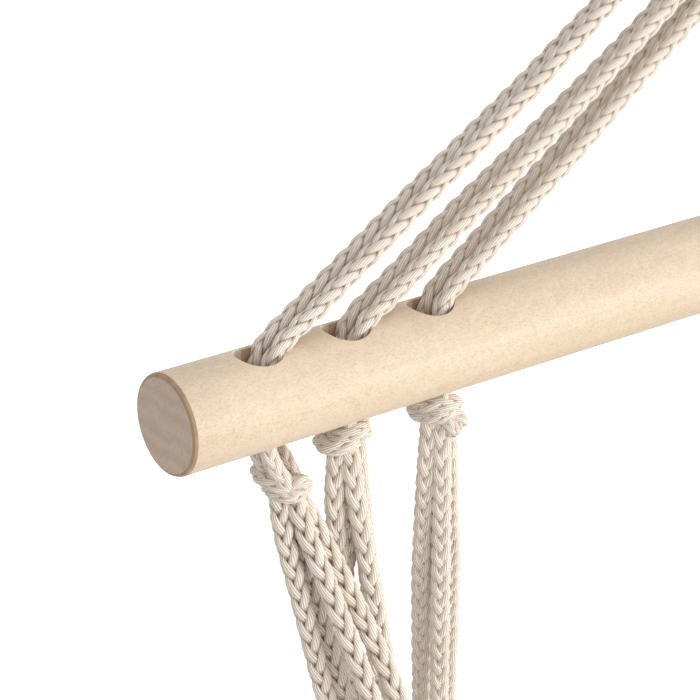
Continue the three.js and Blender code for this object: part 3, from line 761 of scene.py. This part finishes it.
def tie_knots(paint):
    toward = unit(TO_CAMERA)
    seen = np.array([unit(np.array(CAMERA_RIGHT)), unit(np.array(CAMERA_UP)), toward])
    for index, place in enumerate(PLACES):
        parts = []
        for number, (squeeze, turn) in enumerate(KNOT_TURNS[index]):
            line = threaded(knot_centre(-1, index) + np.array(turn) @ seen)
            total = lengths_along(line)[-1]
            line = at_lengths(line, np.linspace(0, total, int(total / KNOT_STEP) + 1))
            parts.append(braid_parts(line, LAY_KNOT * squeeze, SIDES_NEAR, squeeze,
                                     [(total / 2, toward, V_ALONG)], number * SLIDE_KNOT, **KNOT_BRAID))
        points, quads, uvs, caps, crevice_shade_mask = joined_parts(parts)
        for name, side in SIDES.items():
            if side > 0:
                points = points * vec(-1, 1, 1)
                quads = quads[:, ::-1]
                uvs = uvs.reshape(-1, 4, 2)[:, ::-1].reshape(-1, 2)
                caps = [cap[::-1] for cap in caps]
            piece = mesh_object(f"rope_knot_{name}_{place}", paint, points, quads, uvs, caps, crevice_shade_mask)
            belongs(piece, "cord", "bar", f"knot_{name}_{place}")


# ---- modelled pieces

def settle(piece, name):
    """Puts the object at the origin with its place in its mesh."""
    piece.name = name
    piece.data.name = name
    piece.data.transform(piece.matrix_world)
    piece.matrix_world = Matrix.Identity(4)
    return piece


def apply(piece, kind, **settings):
    bpy.context.view_layer.objects.active = piece
    made = piece.modifiers.new(kind.lower(), kind)
    for key, value in settings.items():
        setattr(made, key, value)
    deselect()
    piece.select_set(True)
    bpy.ops.object.modifier_apply(modifier=made.name)
    return piece


def bevelled(piece, width, segments):
    return apply(piece, "BEVEL", width=width * MM, segments=segments, limit_method="ANGLE")


def combined(piece, operation, *others):
    for other in others:
        apply(piece, "BOOLEAN", operation=operation, object=other, solver="EXACT")
        bpy.data.objects.remove(other)


def cylinder(radius, depth, place, turn=(0, 0, 0), vertices=48):
    deselect()
    bpy.ops.mesh.primitive_cylinder_add(vertices=vertices, radius=radius * MM, depth=depth * MM,
                                        location=[c * MM for c in place], rotation=turn)
    return settle(bpy.context.object, "blank")


def torus(radius, wire, around, across, height=0, turn=(0, 0, 0)):
    deselect()
    bpy.ops.mesh.primitive_torus_add(major_radius=radius * MM, minor_radius=wire * MM, major_segments=around,
                                     minor_segments=across, location=(0, 0, height * MM), rotation=turn)
    return settle(bpy.context.object, "blank")


def pick(piece, choose, kind="VERT"):
    """Selects in edit mode the points, edges or faces that the test chooses, by their middle in mm."""
    bpy.context.view_layer.objects.active = piece
    bpy.ops.object.mode_set(mode="EDIT")
    bpy.ops.mesh.select_all(action="DESELECT")
    bpy.ops.mesh.select_mode(type=kind)
    bpy.ops.object.mode_set(mode="OBJECT")
    mesh = piece.data
    if kind == "VERT":
        for v in mesh.vertices:
            v.select = choose(v.co / MM)
    elif kind == "EDGE":
        for e in mesh.edges:
            a, b = (mesh.vertices[i].co / MM for i in e.vertices)
            e.select = choose(a, b)
    else:
        for face in mesh.polygons:
            face.select = choose(face.center / MM, face.normal)
    bpy.ops.object.mode_set(mode="EDIT")


def done_editing():
    bpy.ops.object.mode_set(mode="OBJECT")


def edit(piece, choose, operator, kind="VERT", **values):
    """Runs one mesh operator on what the test chooses."""
    pick(piece, choose, kind)
    operator(**values)
    done_editing()


def everything(*_):
    return True


def smooth(piece, degrees):
    deselect()
    piece.select_set(True)
    bpy.context.view_layer.objects.active = piece
    bpy.ops.object.shade_smooth_by_angle(angle=math.radians(degrees))


NEAR, LEVEL = 0.01, 0.9
MOUTH_STEPS, MOUTH_SEGMENTS, MOUTH_REACH = 5, 64, 6
BAR_SEGMENTS, BAR_CUT_BESIDE_HOLE = 128, 12
BORE_DEPTH, BORE_SLOPE, PAINTED_LIT_WALL_SLOPE, BARE_RIM = 2.6, 0.02, 0.2, 0.1


def turn_bar(wood, end_grain, edge, bore):
    bar = cylinder(BAR_RADIUS, 2 * BAR_HALF, (0, 0, BAR_HEIGHT), (0, math.pi / 2, 0), BAR_SEGMENTS)
    edit(bar, lambda a, b: abs(abs(a.x) - BAR_HALF) < NEAR and abs(a.x - b.x) < NEAR, bpy.ops.mesh.bevel,
         "EDGE", offset=BAR_CHAMFER * MM, segments=2, profile=0.5)
    for side in SIDES.values():
        for index in range(len(PLACES)):
            for out in (-BAR_CUT_BESIDE_HOLE, BAR_CUT_BESIDE_HOLE):
                edit(bar, everything, bpy.ops.mesh.bisect,
                     plane_co=((side * hole_out(index) + out) * MM, 0, 0), plane_no=(1, 0, 0))
            combined(bar, "DIFFERENCE", hole_cutter(side * (hole_out(index) + HOLE_OUTWARD)))
    settle(bar, "turned_bar")
    for paint in (wood, end_grain, edge, bore):
        bar.data.materials.append(paint)
    for face in bar.data.polygons:
        x, y, z = face.center / MM
        out = math.hypot(y, z - BAR_HEIGHT)
        if abs(x) > BAR_HALF - 5 * NEAR:
            face.material_index = 1
        elif abs(x) > BAR_HALF - BAR_CHAMFER - 2 * NEAR:
            face.material_index = 2
        # Bore faces get hole_wood, whose darker brown is partly the wood's own colour there and partly
        # painted shade inside the hole
        elif abs(face.normal.x) > BORE_SLOPE or out < BAR_RADIUS - BORE_DEPTH:
            # Painted light: the part of each bore's wall that faces the bar's middle keeps the pale bar wood,
            # a lit crescent as if light fell into the hole
            painted_lit_wall = face.normal.x * x < -PAINTED_LIT_WALL_SLOPE * abs(x)
            face.material_index = 3 if out < BAR_RADIUS - HOLE_ROUNDING - BARE_RIM and not painted_lit_wall else 0
    smooth(bar, 25)
    belongs(bar, "wood", "bar", "spreader_bar")


def hole_cutter(x):
    """A round cutter that widens to a rounded mouth at each end, and follows the bar's round there."""
    end = BAR_RADIUS - HOLE_ROUNDING
    tool = cylinder(HOLE_RADIUS, 2 * end, (x, 0, BAR_HEIGHT), vertices=MOUTH_SEGMENTS)
    for way in (1, -1):
        pick(tool, lambda c, n: (c.z - BAR_HEIGHT) * way > end - NEAR and abs(n.z) > LEVEL, "FACE")
        radius, height = HOLE_RADIUS, end
        for step in range(1, MOUTH_STEPS + 1):
            angle = math.pi / 2 * step / MOUTH_STEPS
            next_radius = HOLE_RADIUS + HOLE_ROUNDING * (1 - math.cos(angle))
            next_height = end + HOLE_ROUNDING * math.sin(angle)
            grow = next_radius / radius
            bpy.ops.mesh.extrude_region_move(
                TRANSFORM_OT_translate={"value": (0, 0, way * (next_height - height) * MM)})
            bpy.ops.transform.resize(value=(grow, grow, 1), center_override=Vector((x, 0, BAR_HEIGHT)) * MM)
            radius, height = next_radius, next_height
        bpy.ops.mesh.extrude_region_move(TRANSFORM_OT_translate={"value": (0, 0, way * MOUTH_REACH * MM)})
        done_editing()
        for step in range(MOUTH_SEGMENTS // 4 + 1):
            share = math.sin(2 * math.pi * step / MOUTH_SEGMENTS)
            fall = BAR_RADIUS - math.sqrt(BAR_RADIUS ** 2 - (share * radius * HOLE_SQUASH) ** 2)
            edit(tool, lambda co: (co.z - BAR_HEIGHT) * way > end - NEAR
                 and abs(abs(co.y) / math.hypot(co.x - x, co.y) - share) < NEAR,
                 bpy.ops.transform.translate, value=(0, 0, -way * fall * MM))
    place = Matrix.Translation((0, 0, BAR_HEIGHT * MM))
    turn = Matrix.Rotation(HOLE_ROLL, 4, "X") @ Matrix.Scale(HOLE_SQUASH, 4, (0, 1, 0))
    tool.data.transform(place @ turn @ place.inverted())
    return tool


# The bow's rod, half width and shoulder, and the steps of each foot across and down
BOW_ROD, BOW_HALF, BOW_SHOULDER = 4, 16, -12
BOW_FOOT = ((0, -16), (-0.6, -2.6), (-1.6, -2.8), (-1.8, -4.6))
BORE_RADIUS, BORE_REACH = 5.0, 24
WASHER_RADIUS, WASHER_THICK = 9.5, 2
HEAD_RADIUS, HEAD_HIGH, SHANK_RADIUS, SHANK_IN_HEAD, COLLAR_RADIUS = 8, 6, 4.7, 2, 8
WELD_AT, WELD_HALF, WELD_PROUD = math.radians(62), 0.03, 0.28


def bend_bow():
    """A bent rod with both feet in a bored boss."""
    deselect()
    bpy.ops.mesh.primitive_circle_add(vertices=24, radius=BOW_ROD * MM,
                                      location=(BOW_HALF * MM, 0, BOW_SHOULDER * MM))
    bow = settle(bpy.context.object, "blank")
    edit(bow, everything, bpy.ops.mesh.spin, steps=28, angle=-math.pi, center=(0, 0, BOW_SHOULDER * MM),
         axis=(0, 1, 0))
    bow.data.transform(Matrix.Translation((0, 0, 2 * BOW_SHOULDER * MM)) @ Matrix.Scale(-1, 4, (0, 0, 1)))
    for side in SIDES.values():
        level = BOW_SHOULDER

        def at_foot(a, b):
            return max(abs(a.z - level), abs(b.z - level)) < 2 * NEAR and a.x * side > 0

        for dx, dz in BOW_FOOT:
            edit(bow, at_foot, bpy.ops.mesh.extrude_edges_move, "EDGE",
                 TRANSFORM_OT_translate={"value": (side * dx * MM, 0, dz * MM)})
            level += dz
        edit(bow, at_foot, bpy.ops.mesh.edge_face_add, "EDGE")
    edit(bow, everything, bpy.ops.mesh.remove_doubles, threshold=0.00001)
    edit(bow, everything, bpy.ops.mesh.normals_make_consistent, inside=False)
    boss = cylinder(BOSS_RADIUS, BOSS_THICK, (0, 0, BOSS_TOP - BOSS_THICK / 2), vertices=64)
    combined(bow, "UNION", bevelled(boss, 2, 4))
    combined(bow, "DIFFERENCE", cylinder(BORE_RADIUS, BORE_REACH, (0, 0, BOSS_BOTTOM)))
    return bow


def forge_hardware(steel, brass):
    finish_metal(bend_bow(), "bent_bow", steel, "hanger", "steel", "swivel_bow")
    washer = cylinder(WASHER_RADIUS, WASHER_THICK, (0, 0, BOSS_TOP + CLEARANCE + WASHER_THICK / 2),
                      vertices=64)
    combined(washer, "DIFFERENCE", cylinder(BORE_RADIUS, 3 * WASHER_THICK, (0, 0, BOSS_TOP)))
    finish_metal(bevelled(washer, 0.3, 2), "thrust_washer", brass, "hanger", "brass", "swivel_washer")

    # Eye: shank with a six-sided head, a collar and a ring below it
    bottom = BOSS_TOP + WASHER_THICK + 2 * CLEARANCE
    head = bevelled(cylinder(HEAD_RADIUS, HEAD_HIGH, (0, 0, bottom + HEAD_HIGH / 2), vertices=6), 0.5, 2)
    top = bottom + SHANK_IN_HEAD
    shank = cylinder(SHANK_RADIUS, top - COLLAR_BOTTOM, (0, 0, (top + COLLAR_BOTTOM) / 2))
    collar = bevelled(cylinder(COLLAR_RADIUS, COLLAR_HIGH, (0, 0, COLLAR_BOTTOM + COLLAR_HIGH / 2)), 0.6, 3)
    eye = torus(EYE_RADIUS, EYE_WIRE, 72, 24, EYE_CENTRE, (0, math.pi / 2, 0))
    combined(eye, "UNION", collar, shank, head)
    finish_metal(eye, "swivel_eye_bolt", steel, "eye", "steel", "swivel_eye")

    # Ring with a ground weld
    ring = torus(RING_RADIUS, RING_WIRE, 120, 28, RING_CENTRE, (math.pi / 2, 0, 0))
    edit(ring, lambda co: abs(math.atan2(co.z - RING_CENTRE, co.x) - WELD_AT) < WELD_HALF,
         bpy.ops.transform.shrink_fatten, value=WELD_PROUD * MM)
    finish_metal(ring, "welded_ring", steel, "ring", "steel", "hang_ring")


def finish_metal(piece, name, paint, body, slot, *nodes):
    settle(piece, name)
    piece.data.materials.clear()
    piece.data.materials.append(paint)
    for face in piece.data.polygons:
        face.material_index = 0
    smooth(piece, 40)
    belongs(piece, slot, body, *nodes)


# ---- seat

LAP_TOP, LAP_STEPS, CLOTH_THICK, HEM_THICK, HEM_WIDE = 10, 4, 1.3, 3.0, 24
HEM_SLOPE, HEM_EDGE_SHARE, HEM_EDGE_SLOPE = 1.5, 0.35, 4
CLOTH_LAP = (BAND_THICK + CLOTH_THICK) / 2 + 0.02
LEAVE_SHARE, LEVEL_SHARE, GATHERED = 0.42, 0.5, 0.625
HALF_COLUMNS, CLOTH_ROWS, COLUMN_POWER = 64, 140, 1.1
PUCKER_HIGH, PUCKER_FADE, PUCKER_RISE = 3.4, 6.5, 30
# Height of each set of creases, its waves across and along the half cloth, and its shift on each side
CREASES = [(3.0, 1.7, 3.1, 1), (2.0, 4.3, -5.2, 2.1), (1.2, 2.6, 9.4, -1)]


def cloth_half_row(side, length):
    """One line of the cloth, from its lap on the band to the middle of the seat."""
    share = share_at(length)
    point, ahead, fall, inner = edge_frame(side, length)
    inside = point + inner * CLOTH_LAP
    top, seam = inside + fall * LAP_TOP, inside + fall * BAND_BELOW
    downhill = unit(vec(0, ahead[2], -ahead[1]))
    middle = vec(0, point[1], point[2]) + downhill * on_curve("sag", share)
    low = middle + vec(side * abs(seam[0]) * LEVEL_SHARE, 0, 0)
    high = seam + fall * np.linalg.norm(seam - middle) * LEAVE_SHARE
    place = np.linspace(0, 1, HALF_COLUMNS + 1) ** COLUMN_POWER
    t = place[:, None]
    curve = (1 - t) ** 3 * seam + 3 * (1 - t) ** 2 * t * high + 3 * (1 - t) * t ** 2 * low + t ** 3 * middle
    swell = GATHER_DEPTH * math.cos(2 * math.pi * GATHER_COUNT * share)
    rise = swell * np.sin(np.pi * np.minimum(place / GATHERED, 1)) * (1 - place)
    beat = 2 * math.pi * (length - EYELET_FROM_END) / (EDGE_LENGTH - 2 * EYELET_FROM_END) * (EYELET_COUNT - 1)
    rise += PUCKER_HIGH * math.cos(beat) * np.exp(-place * PUCKER_FADE) * np.minimum(place * PUCKER_RISE, 1)
    for crease, across, along, shift in CREASES:
        wave = np.sin(2 * np.pi * (across * place + along * share) + shift * side)
        rise += crease * wave * np.sin(np.pi * place) ** 2
    lap = np.linspace(0, 1, LAP_STEPS + 1)[:-1, None]
    return np.concatenate([top + (seam - top) * lap, curve + rise[:, None] * inner])


def outline(top, left, bottom, right):
    """The points of a grid round a rectangle, once each."""
    return ([(i, left) for i in range(top, bottom)] + [(bottom, j) for j in range(left, right)]
            + [(i, right) for i in range(bottom, top, -1)] + [(top, j) for j in range(right, left, -1)])


def grid_normals(grid):
    return unit(np.cross(np.gradient(grid, axis=0), np.gradient(grid, axis=1)))


def hang_canvas(paint):
    lengths = np.linspace(0, EDGE_LENGTH, CLOTH_ROWS + 1)
    ends = np.minimum(lengths, EDGE_LENGTH - lengths)
    halves = [[cloth_half_row(side, length) for side in SIDES.values()] for length in lengths]
    grid = np.array([np.concatenate([left, right[:-1][::-1]]) for left, right in halves])
    hem = np.clip((HEM_WIDE - ends) / HEM_SLOPE, 0, 1) * np.clip(HEM_EDGE_SHARE + ends / HEM_EDGE_SLOPE, 0, 1)
    half_thick = (CLOTH_THICK + (HEM_THICK - CLOTH_THICK) * hem)[:, None, None] / 2
    rows, columns = grid.shape[:2]
    across = np.array([lengths_along(line) for line in grid])
    uv = np.stack([across - across[:, -1:] / 2, np.repeat(lengths[:, None], columns, axis=1)], axis=2)
    offset = grid_normals(grid) * half_thick
    points = np.concatenate([(grid + offset).reshape(-1, 3), (grid - offset).reshape(-1, 3)])
    i, j = (a.ravel() for a in np.meshgrid(np.arange(rows - 1), np.arange(columns - 1), indexing="ij"))
    a, b, c, d = i * columns + j, (i + 1) * columns + j, (i + 1) * columns + j + 1, i * columns + j + 1
    back = rows * columns
    rim = np.array([i * columns + j for i, j in outline(0, 0, rows - 1, columns - 1)][::-1])
    after = np.roll(rim, -1)
    quads = np.concatenate([np.stack([a, b, c, d], 1), back + np.stack([a, d, c, b], 1),
                            np.stack([rim, after, back + after, back + rim], 1)])
    flat = np.concatenate([uv.reshape(-1, 2), uv.reshape(-1, 2)])
    cloth = mesh_object("canvas_cloth", paint, points, quads, flat[quads.ravel()])
    belongs(cloth, "canvas", "seat", "seat_canvas")
    return cloth, grid, float(across[:, -1].max())


# Each eyelet's opening is a round one in a square of cells of its band
CELLS, CELL_HALF, OPENING_RADIUS = 4, 6.2, 5.6
BAND_STEP, BAND_LAST_STEPS, BAND_ROLL, BAND_EDGE_SHARE = 5, 4, 0.8, 0.45
BAND_HEIGHTS = [-BAND_ABOVE, -BAND_ABOVE + BAND_ROLL, -10.5, -CELL_HALF, -CELL_HALF / 2, 0, CELL_HALF / 2,
                CELL_HALF, 10.5, 16, 22, 28, BAND_BELOW - BAND_ROLL, BAND_BELOW]


def band_stops():
    """Lengths along a side band: about even steps, and the cells of each opening."""
    stops = [0.0]
    for i in range(EYELET_COUNT):
        last, start = stops[-1], eyelet_length(i) - CELL_HALF
        steps = max(int((start - last) / BAND_STEP), 2)
        stops += [*np.linspace(last, start, steps + 1)[1:]]
        stops += [*np.linspace(start, start + 2 * CELL_HALF, CELLS + 1)[1:]]
    return np.array(stops + [*np.linspace(stops[-1], EDGE_LENGTH, BAND_LAST_STEPS + 1)[1:]])


def sew_bands(paint):
    """A side band for each edge, with a round opening for every eyelet."""
    stops = band_stops()
    rows, columns = len(stops), len(BAND_HEIGHTS)
    back = rows * columns
    low = BAND_HEIGHTS.index(-CELL_HALF)
    openings = [int(np.argmin(abs(stops - eyelet_length(i) + CELL_HALF))) for i in range(EYELET_COUNT)]
    open_cells = {(r + a, low + b) for r in openings for a in range(CELLS) for b in range(CELLS)}
    thick = np.full(columns, float(BAND_THICK))
    thick[[0, -1]] *= BAND_EDGE_SHARE
    rim = [i * columns + j for i, j in outline(0, 0, rows - 1, columns - 1)]
    flat = np.array([(length, h) for length in stops for h in BAND_HEIGHTS])
    made = []
    for name, side in SIDES.items():
        places = [edge_frame(side, length) for length in stops]
        points = [p + fall * h + face * inner * t / 2 for face in (1, -1) for p, _, fall, inner in places
                  for h, t in zip(BAND_HEIGHTS, thick)]
        front = [(i * columns + j, (i + 1) * columns + j, (i + 1) * columns + j + 1, i * columns + j + 1)
                 for i in range(rows - 1) for j in range(columns - 1) if (i, j) not in open_cells]
        walls = [(a + back, b + back, b, a) for a, b in zip(rim, rim[1:] + rim[:1])]
        uv = [*flat, *flat]
        for number, row in enumerate(openings):
            at = eyelet_length(number)
            ring = outline(row, low, row + CELLS, low + CELLS)
            p, ahead, fall, inner = edge_frame(side, at)
            base, count = len(points), len(ring)
            for face in (1, -1):
                for i, j in ring:
                    a, b = stops[i] - at, BAND_HEIGHTS[j]
                    a, b = a * OPENING_RADIUS / math.hypot(a, b), b * OPENING_RADIUS / math.hypot(a, b)
                    points.append(p + ahead * a + fall * b + face * inner * BAND_THICK / 2)
                    uv.append((at + a, b))
            for k, m in zip(range(count), [*range(1, count), 0]):
                (i, j), (i_next, j_next) = ring[k], ring[m]
                front.append((i * columns + j, i_next * columns + j_next, base + m, base + k))
                walls.append((base + k, base + m, base + count + m, base + count + k))
        front = np.array(front)
        rear = np.where(front < back, front + back, front + 4 * CELLS)
        quads = np.concatenate([front[:, ::-1], rear, np.array(walls)])
        if side > 0:
            quads = quads[:, ::-1]
        band = mesh_object(f"canvas_band_{name}", paint, np.array(points), quads, np.array(uv)[quads.ravel()])
        belongs(band, "canvas", "seat", f"side_band_{name}")
        made.append(band)
    return made


# Eyelet: its ring and wire, the share of the wire's height that is kept, the radius of its waist, and
# how far each flange is moved out
EYELET_RING, EYELET_WIRE, EYELET_FLAT, EYELET_WAIST, EYELET_FLANGE_OUT = 6.85, 1.85, 0.55, 5.7, 0.78


def set_eyelets(brass):
    model = torus(EYELET_RING, EYELET_WIRE, 32, 12)
    edit(model, everything, bpy.ops.transform.resize, value=(1, 1, EYELET_FLAT))
    outer = EYELET_RING + EYELET_WIRE
    waist = EYELET_WAIST / outer
    edit(model, lambda co: math.hypot(co.x, co.y) > outer - 10 * NEAR, bpy.ops.transform.resize,
         value=(waist, waist, 1))
    for way in (1, -1):
        edit(model, lambda co: co.z * way > 5 * NEAR, bpy.ops.transform.translate,
             value=(0, 0, way * EYELET_FLANGE_OUT * MM))
    smooth(model, 60)
    for name, side in SIDES.items():
        for i in range(EYELET_COUNT):
            p, ahead, _, inner = edge_frame(side, eyelet_length(i))
            mesh = model.data.copy()
            turn = Matrix(np.array([ahead, np.cross(inner, ahead), inner]).T).to_4x4()
            mesh.transform(Matrix.Translation(Vector(p * MM)) @ turn)
            mesh.materials.append(brass)
            eyelet = linked(f"brass_eyelet_{name}_{i + 1}", mesh)
            belongs(eyelet, "brass", "seat", f"eyelet_{name}_{i + 1}")
    bpy.data.objects.remove(model)


STITCH_LONG, STITCH_WIDE, STITCH_HIGH, STITCH_PITCH = 2.6, 0.9, 0.5, 3.6
STITCH_SIDES, STITCH_AHEAD = 6, 0.4
# Along a stitch, as shares of its length: where it has a ring of points, and that ring's size
STITCH_RINGS = [(-0.5, 0.35), (-0.3, 1.0), (0.3, 1.0), (0.5, 0.35)]
SEAM_INSET, BAND_SEAM_INSET, SEAM_FROM_ENDS, SEAM_SAMPLES = 3.5, 3, 8, 160
HEM_SEAMS, HEM_SEAM_FROM_SIDES = (5, HEM_WIDE - 4), 5


def sew_stitches(rows, name, paint):
    """Short raised stitches along each row, each a small rounded bar."""
    corners = [(math.cos(a), math.sin(a)) for a in np.arange(STITCH_SIDES) * 2 * math.pi / STITCH_SIDES]
    points = []
    for line, normals in rows:
        reached = lengths_along(line)
        count = max(int(reached[-1] / STITCH_PITCH), 1)
        spots = (np.arange(count) + 0.5) * reached[-1] / count
        middle = at_lengths(line, spots)
        ahead = unit(at_lengths(line, spots + STITCH_AHEAD) - at_lengths(line, spots - STITCH_AHEAD))
        up = np.stack([np.interp(spots, reached, normals[:, k]) for k in range(3)], axis=1)
        up = unit(up - ahead * (up * ahead).sum(axis=1, keepdims=True))
        side = np.cross(up, ahead)
        made = [middle + ahead * along * STITCH_LONG + side * c * size * STITCH_WIDE / 2
                + up * s * size * STITCH_HIGH for along, size in STITCH_RINGS for c, s in corners]
        points.append(np.stack(made, axis=1).reshape(-1, 3))
    points = np.concatenate(points)
    firsts = np.arange(0, len(points), STITCH_SIDES * len(STITCH_RINGS))
    quads, ends = tube(len(STITCH_RINGS), STITCH_SIDES)
    piece = mesh_object(name, paint, points, (firsts[:, None, None] + quads).reshape(-1, 4),
                        caps=[first + end for first in firsts for end in ends])
    belongs(piece, "canvas", "seat")
    return piece


def stitch_seat(grid, paint):
    """Two seams of the cloth and one at the top of each side band, on both faces, and two along each hem."""
    made = []
    for name, side in SIDES.items():
        places = [edge_frame(side, length) for length in
                  np.linspace(SEAM_FROM_ENDS, EDGE_LENGTH - SEAM_FROM_ENDS, SEAM_SAMPLES)]
        point, _, fall, inner = (np.array(column) for column in zip(*places))
        rows = []
        for height, lift in ((LAP_TOP + SEAM_INSET, CLOTH_LAP + CLOTH_THICK / 2),
                             (BAND_BELOW - SEAM_INSET, CLOTH_LAP + CLOTH_THICK / 2),
                             (BAND_SEAM_INSET - BAND_ABOVE, BAND_THICK / 2)):
            middle = point + fall * height
            rows += [(middle + inner * lift, inner), (middle - inner * BAND_THICK / 2, -inner)]
        made.append(sew_stitches(rows, f"band_stitches_{name}", paint))
    normal = grid_normals(grid)
    stops = np.linspace(0, EDGE_LENGTH, CLOTH_ROWS + 1)
    for name in ("front", "rear"):
        rows = []
        for inset in HEM_SEAMS:
            at = inset if name == "front" else EDGE_LENGTH - inset
            upper = int(np.searchsorted(stops, at))
            share = (at - stops[upper - 1]) / (stops[upper] - stops[upper - 1])
            line, face = ((1 - share) * some[upper - 1] + share * some[upper] for some in (grid, normal))
            keep = slice(HEM_SEAM_FROM_SIDES, -HEM_SEAM_FROM_SIDES)
            line, face = line[keep], face[keep]
            rows += [(line + face * HEM_THICK / 2, face), (line - face * HEM_THICK / 2, -face)]
        made.append(sew_stitches(rows, f"hem_stitches_{name}", paint))
    return made


# ---- assembly

DARKER_WOOD_CLOUDING = {"roughness": 0.7, "scale": (300, 300, 300), "noise": (1.0, 3), "strength": 0.4}


def build():
    bpy.context.scene.view_settings.view_transform = "Standard"
    place_camera()
    cotton = cotton_finish()
    lay_cords(cotton)
    tie_knots(cotton)
    turn_bar(wood_finish(), end_grain_finish(),
             clouded_finish("chamfer_wood", (0.33, 0.21, 0.13), (0.45, 0.31, 0.20), **DARKER_WOOD_CLOUDING),
             # hole_wood: its darker brown is partly the bore wood's own colour and partly painted shade
             # inside the holes
             clouded_finish("hole_wood", (0.45, 0.29, 0.20), (0.55, 0.38, 0.27), **DARKER_WOOD_CLOUDING))
    brass = metal_finish("brass", (0.42, 0.28, 0.10), (0.58, 0.42, 0.17), 0.30)
    forge_hardware(metal_finish("steel", (0.26, 0.27, 0.28), (0.42, 0.43, 0.44), 0.30), brass)
    canvas = canvas_finish("natural_canvas", (0.78, 0.71, 0.60), (0.85, 0.79, 0.69))
    cloth, grid, flat_wide = hang_canvas(canvas)
    bands = sew_bands(canvas_finish("band_canvas", (0.70, 0.62, 0.49), (0.78, 0.70, 0.58)))
    set_eyelets(brass)
    stitches = stitch_seat(grid, clouded_finish("sewing_thread", (0.50, 0.40, 0.28), (0.66, 0.55, 0.40),
                                                roughness=0.8, scale=(1, 1, 1), noise=(700, 2), strength=0.5))
    light_scene()
    lay_floor()


build()
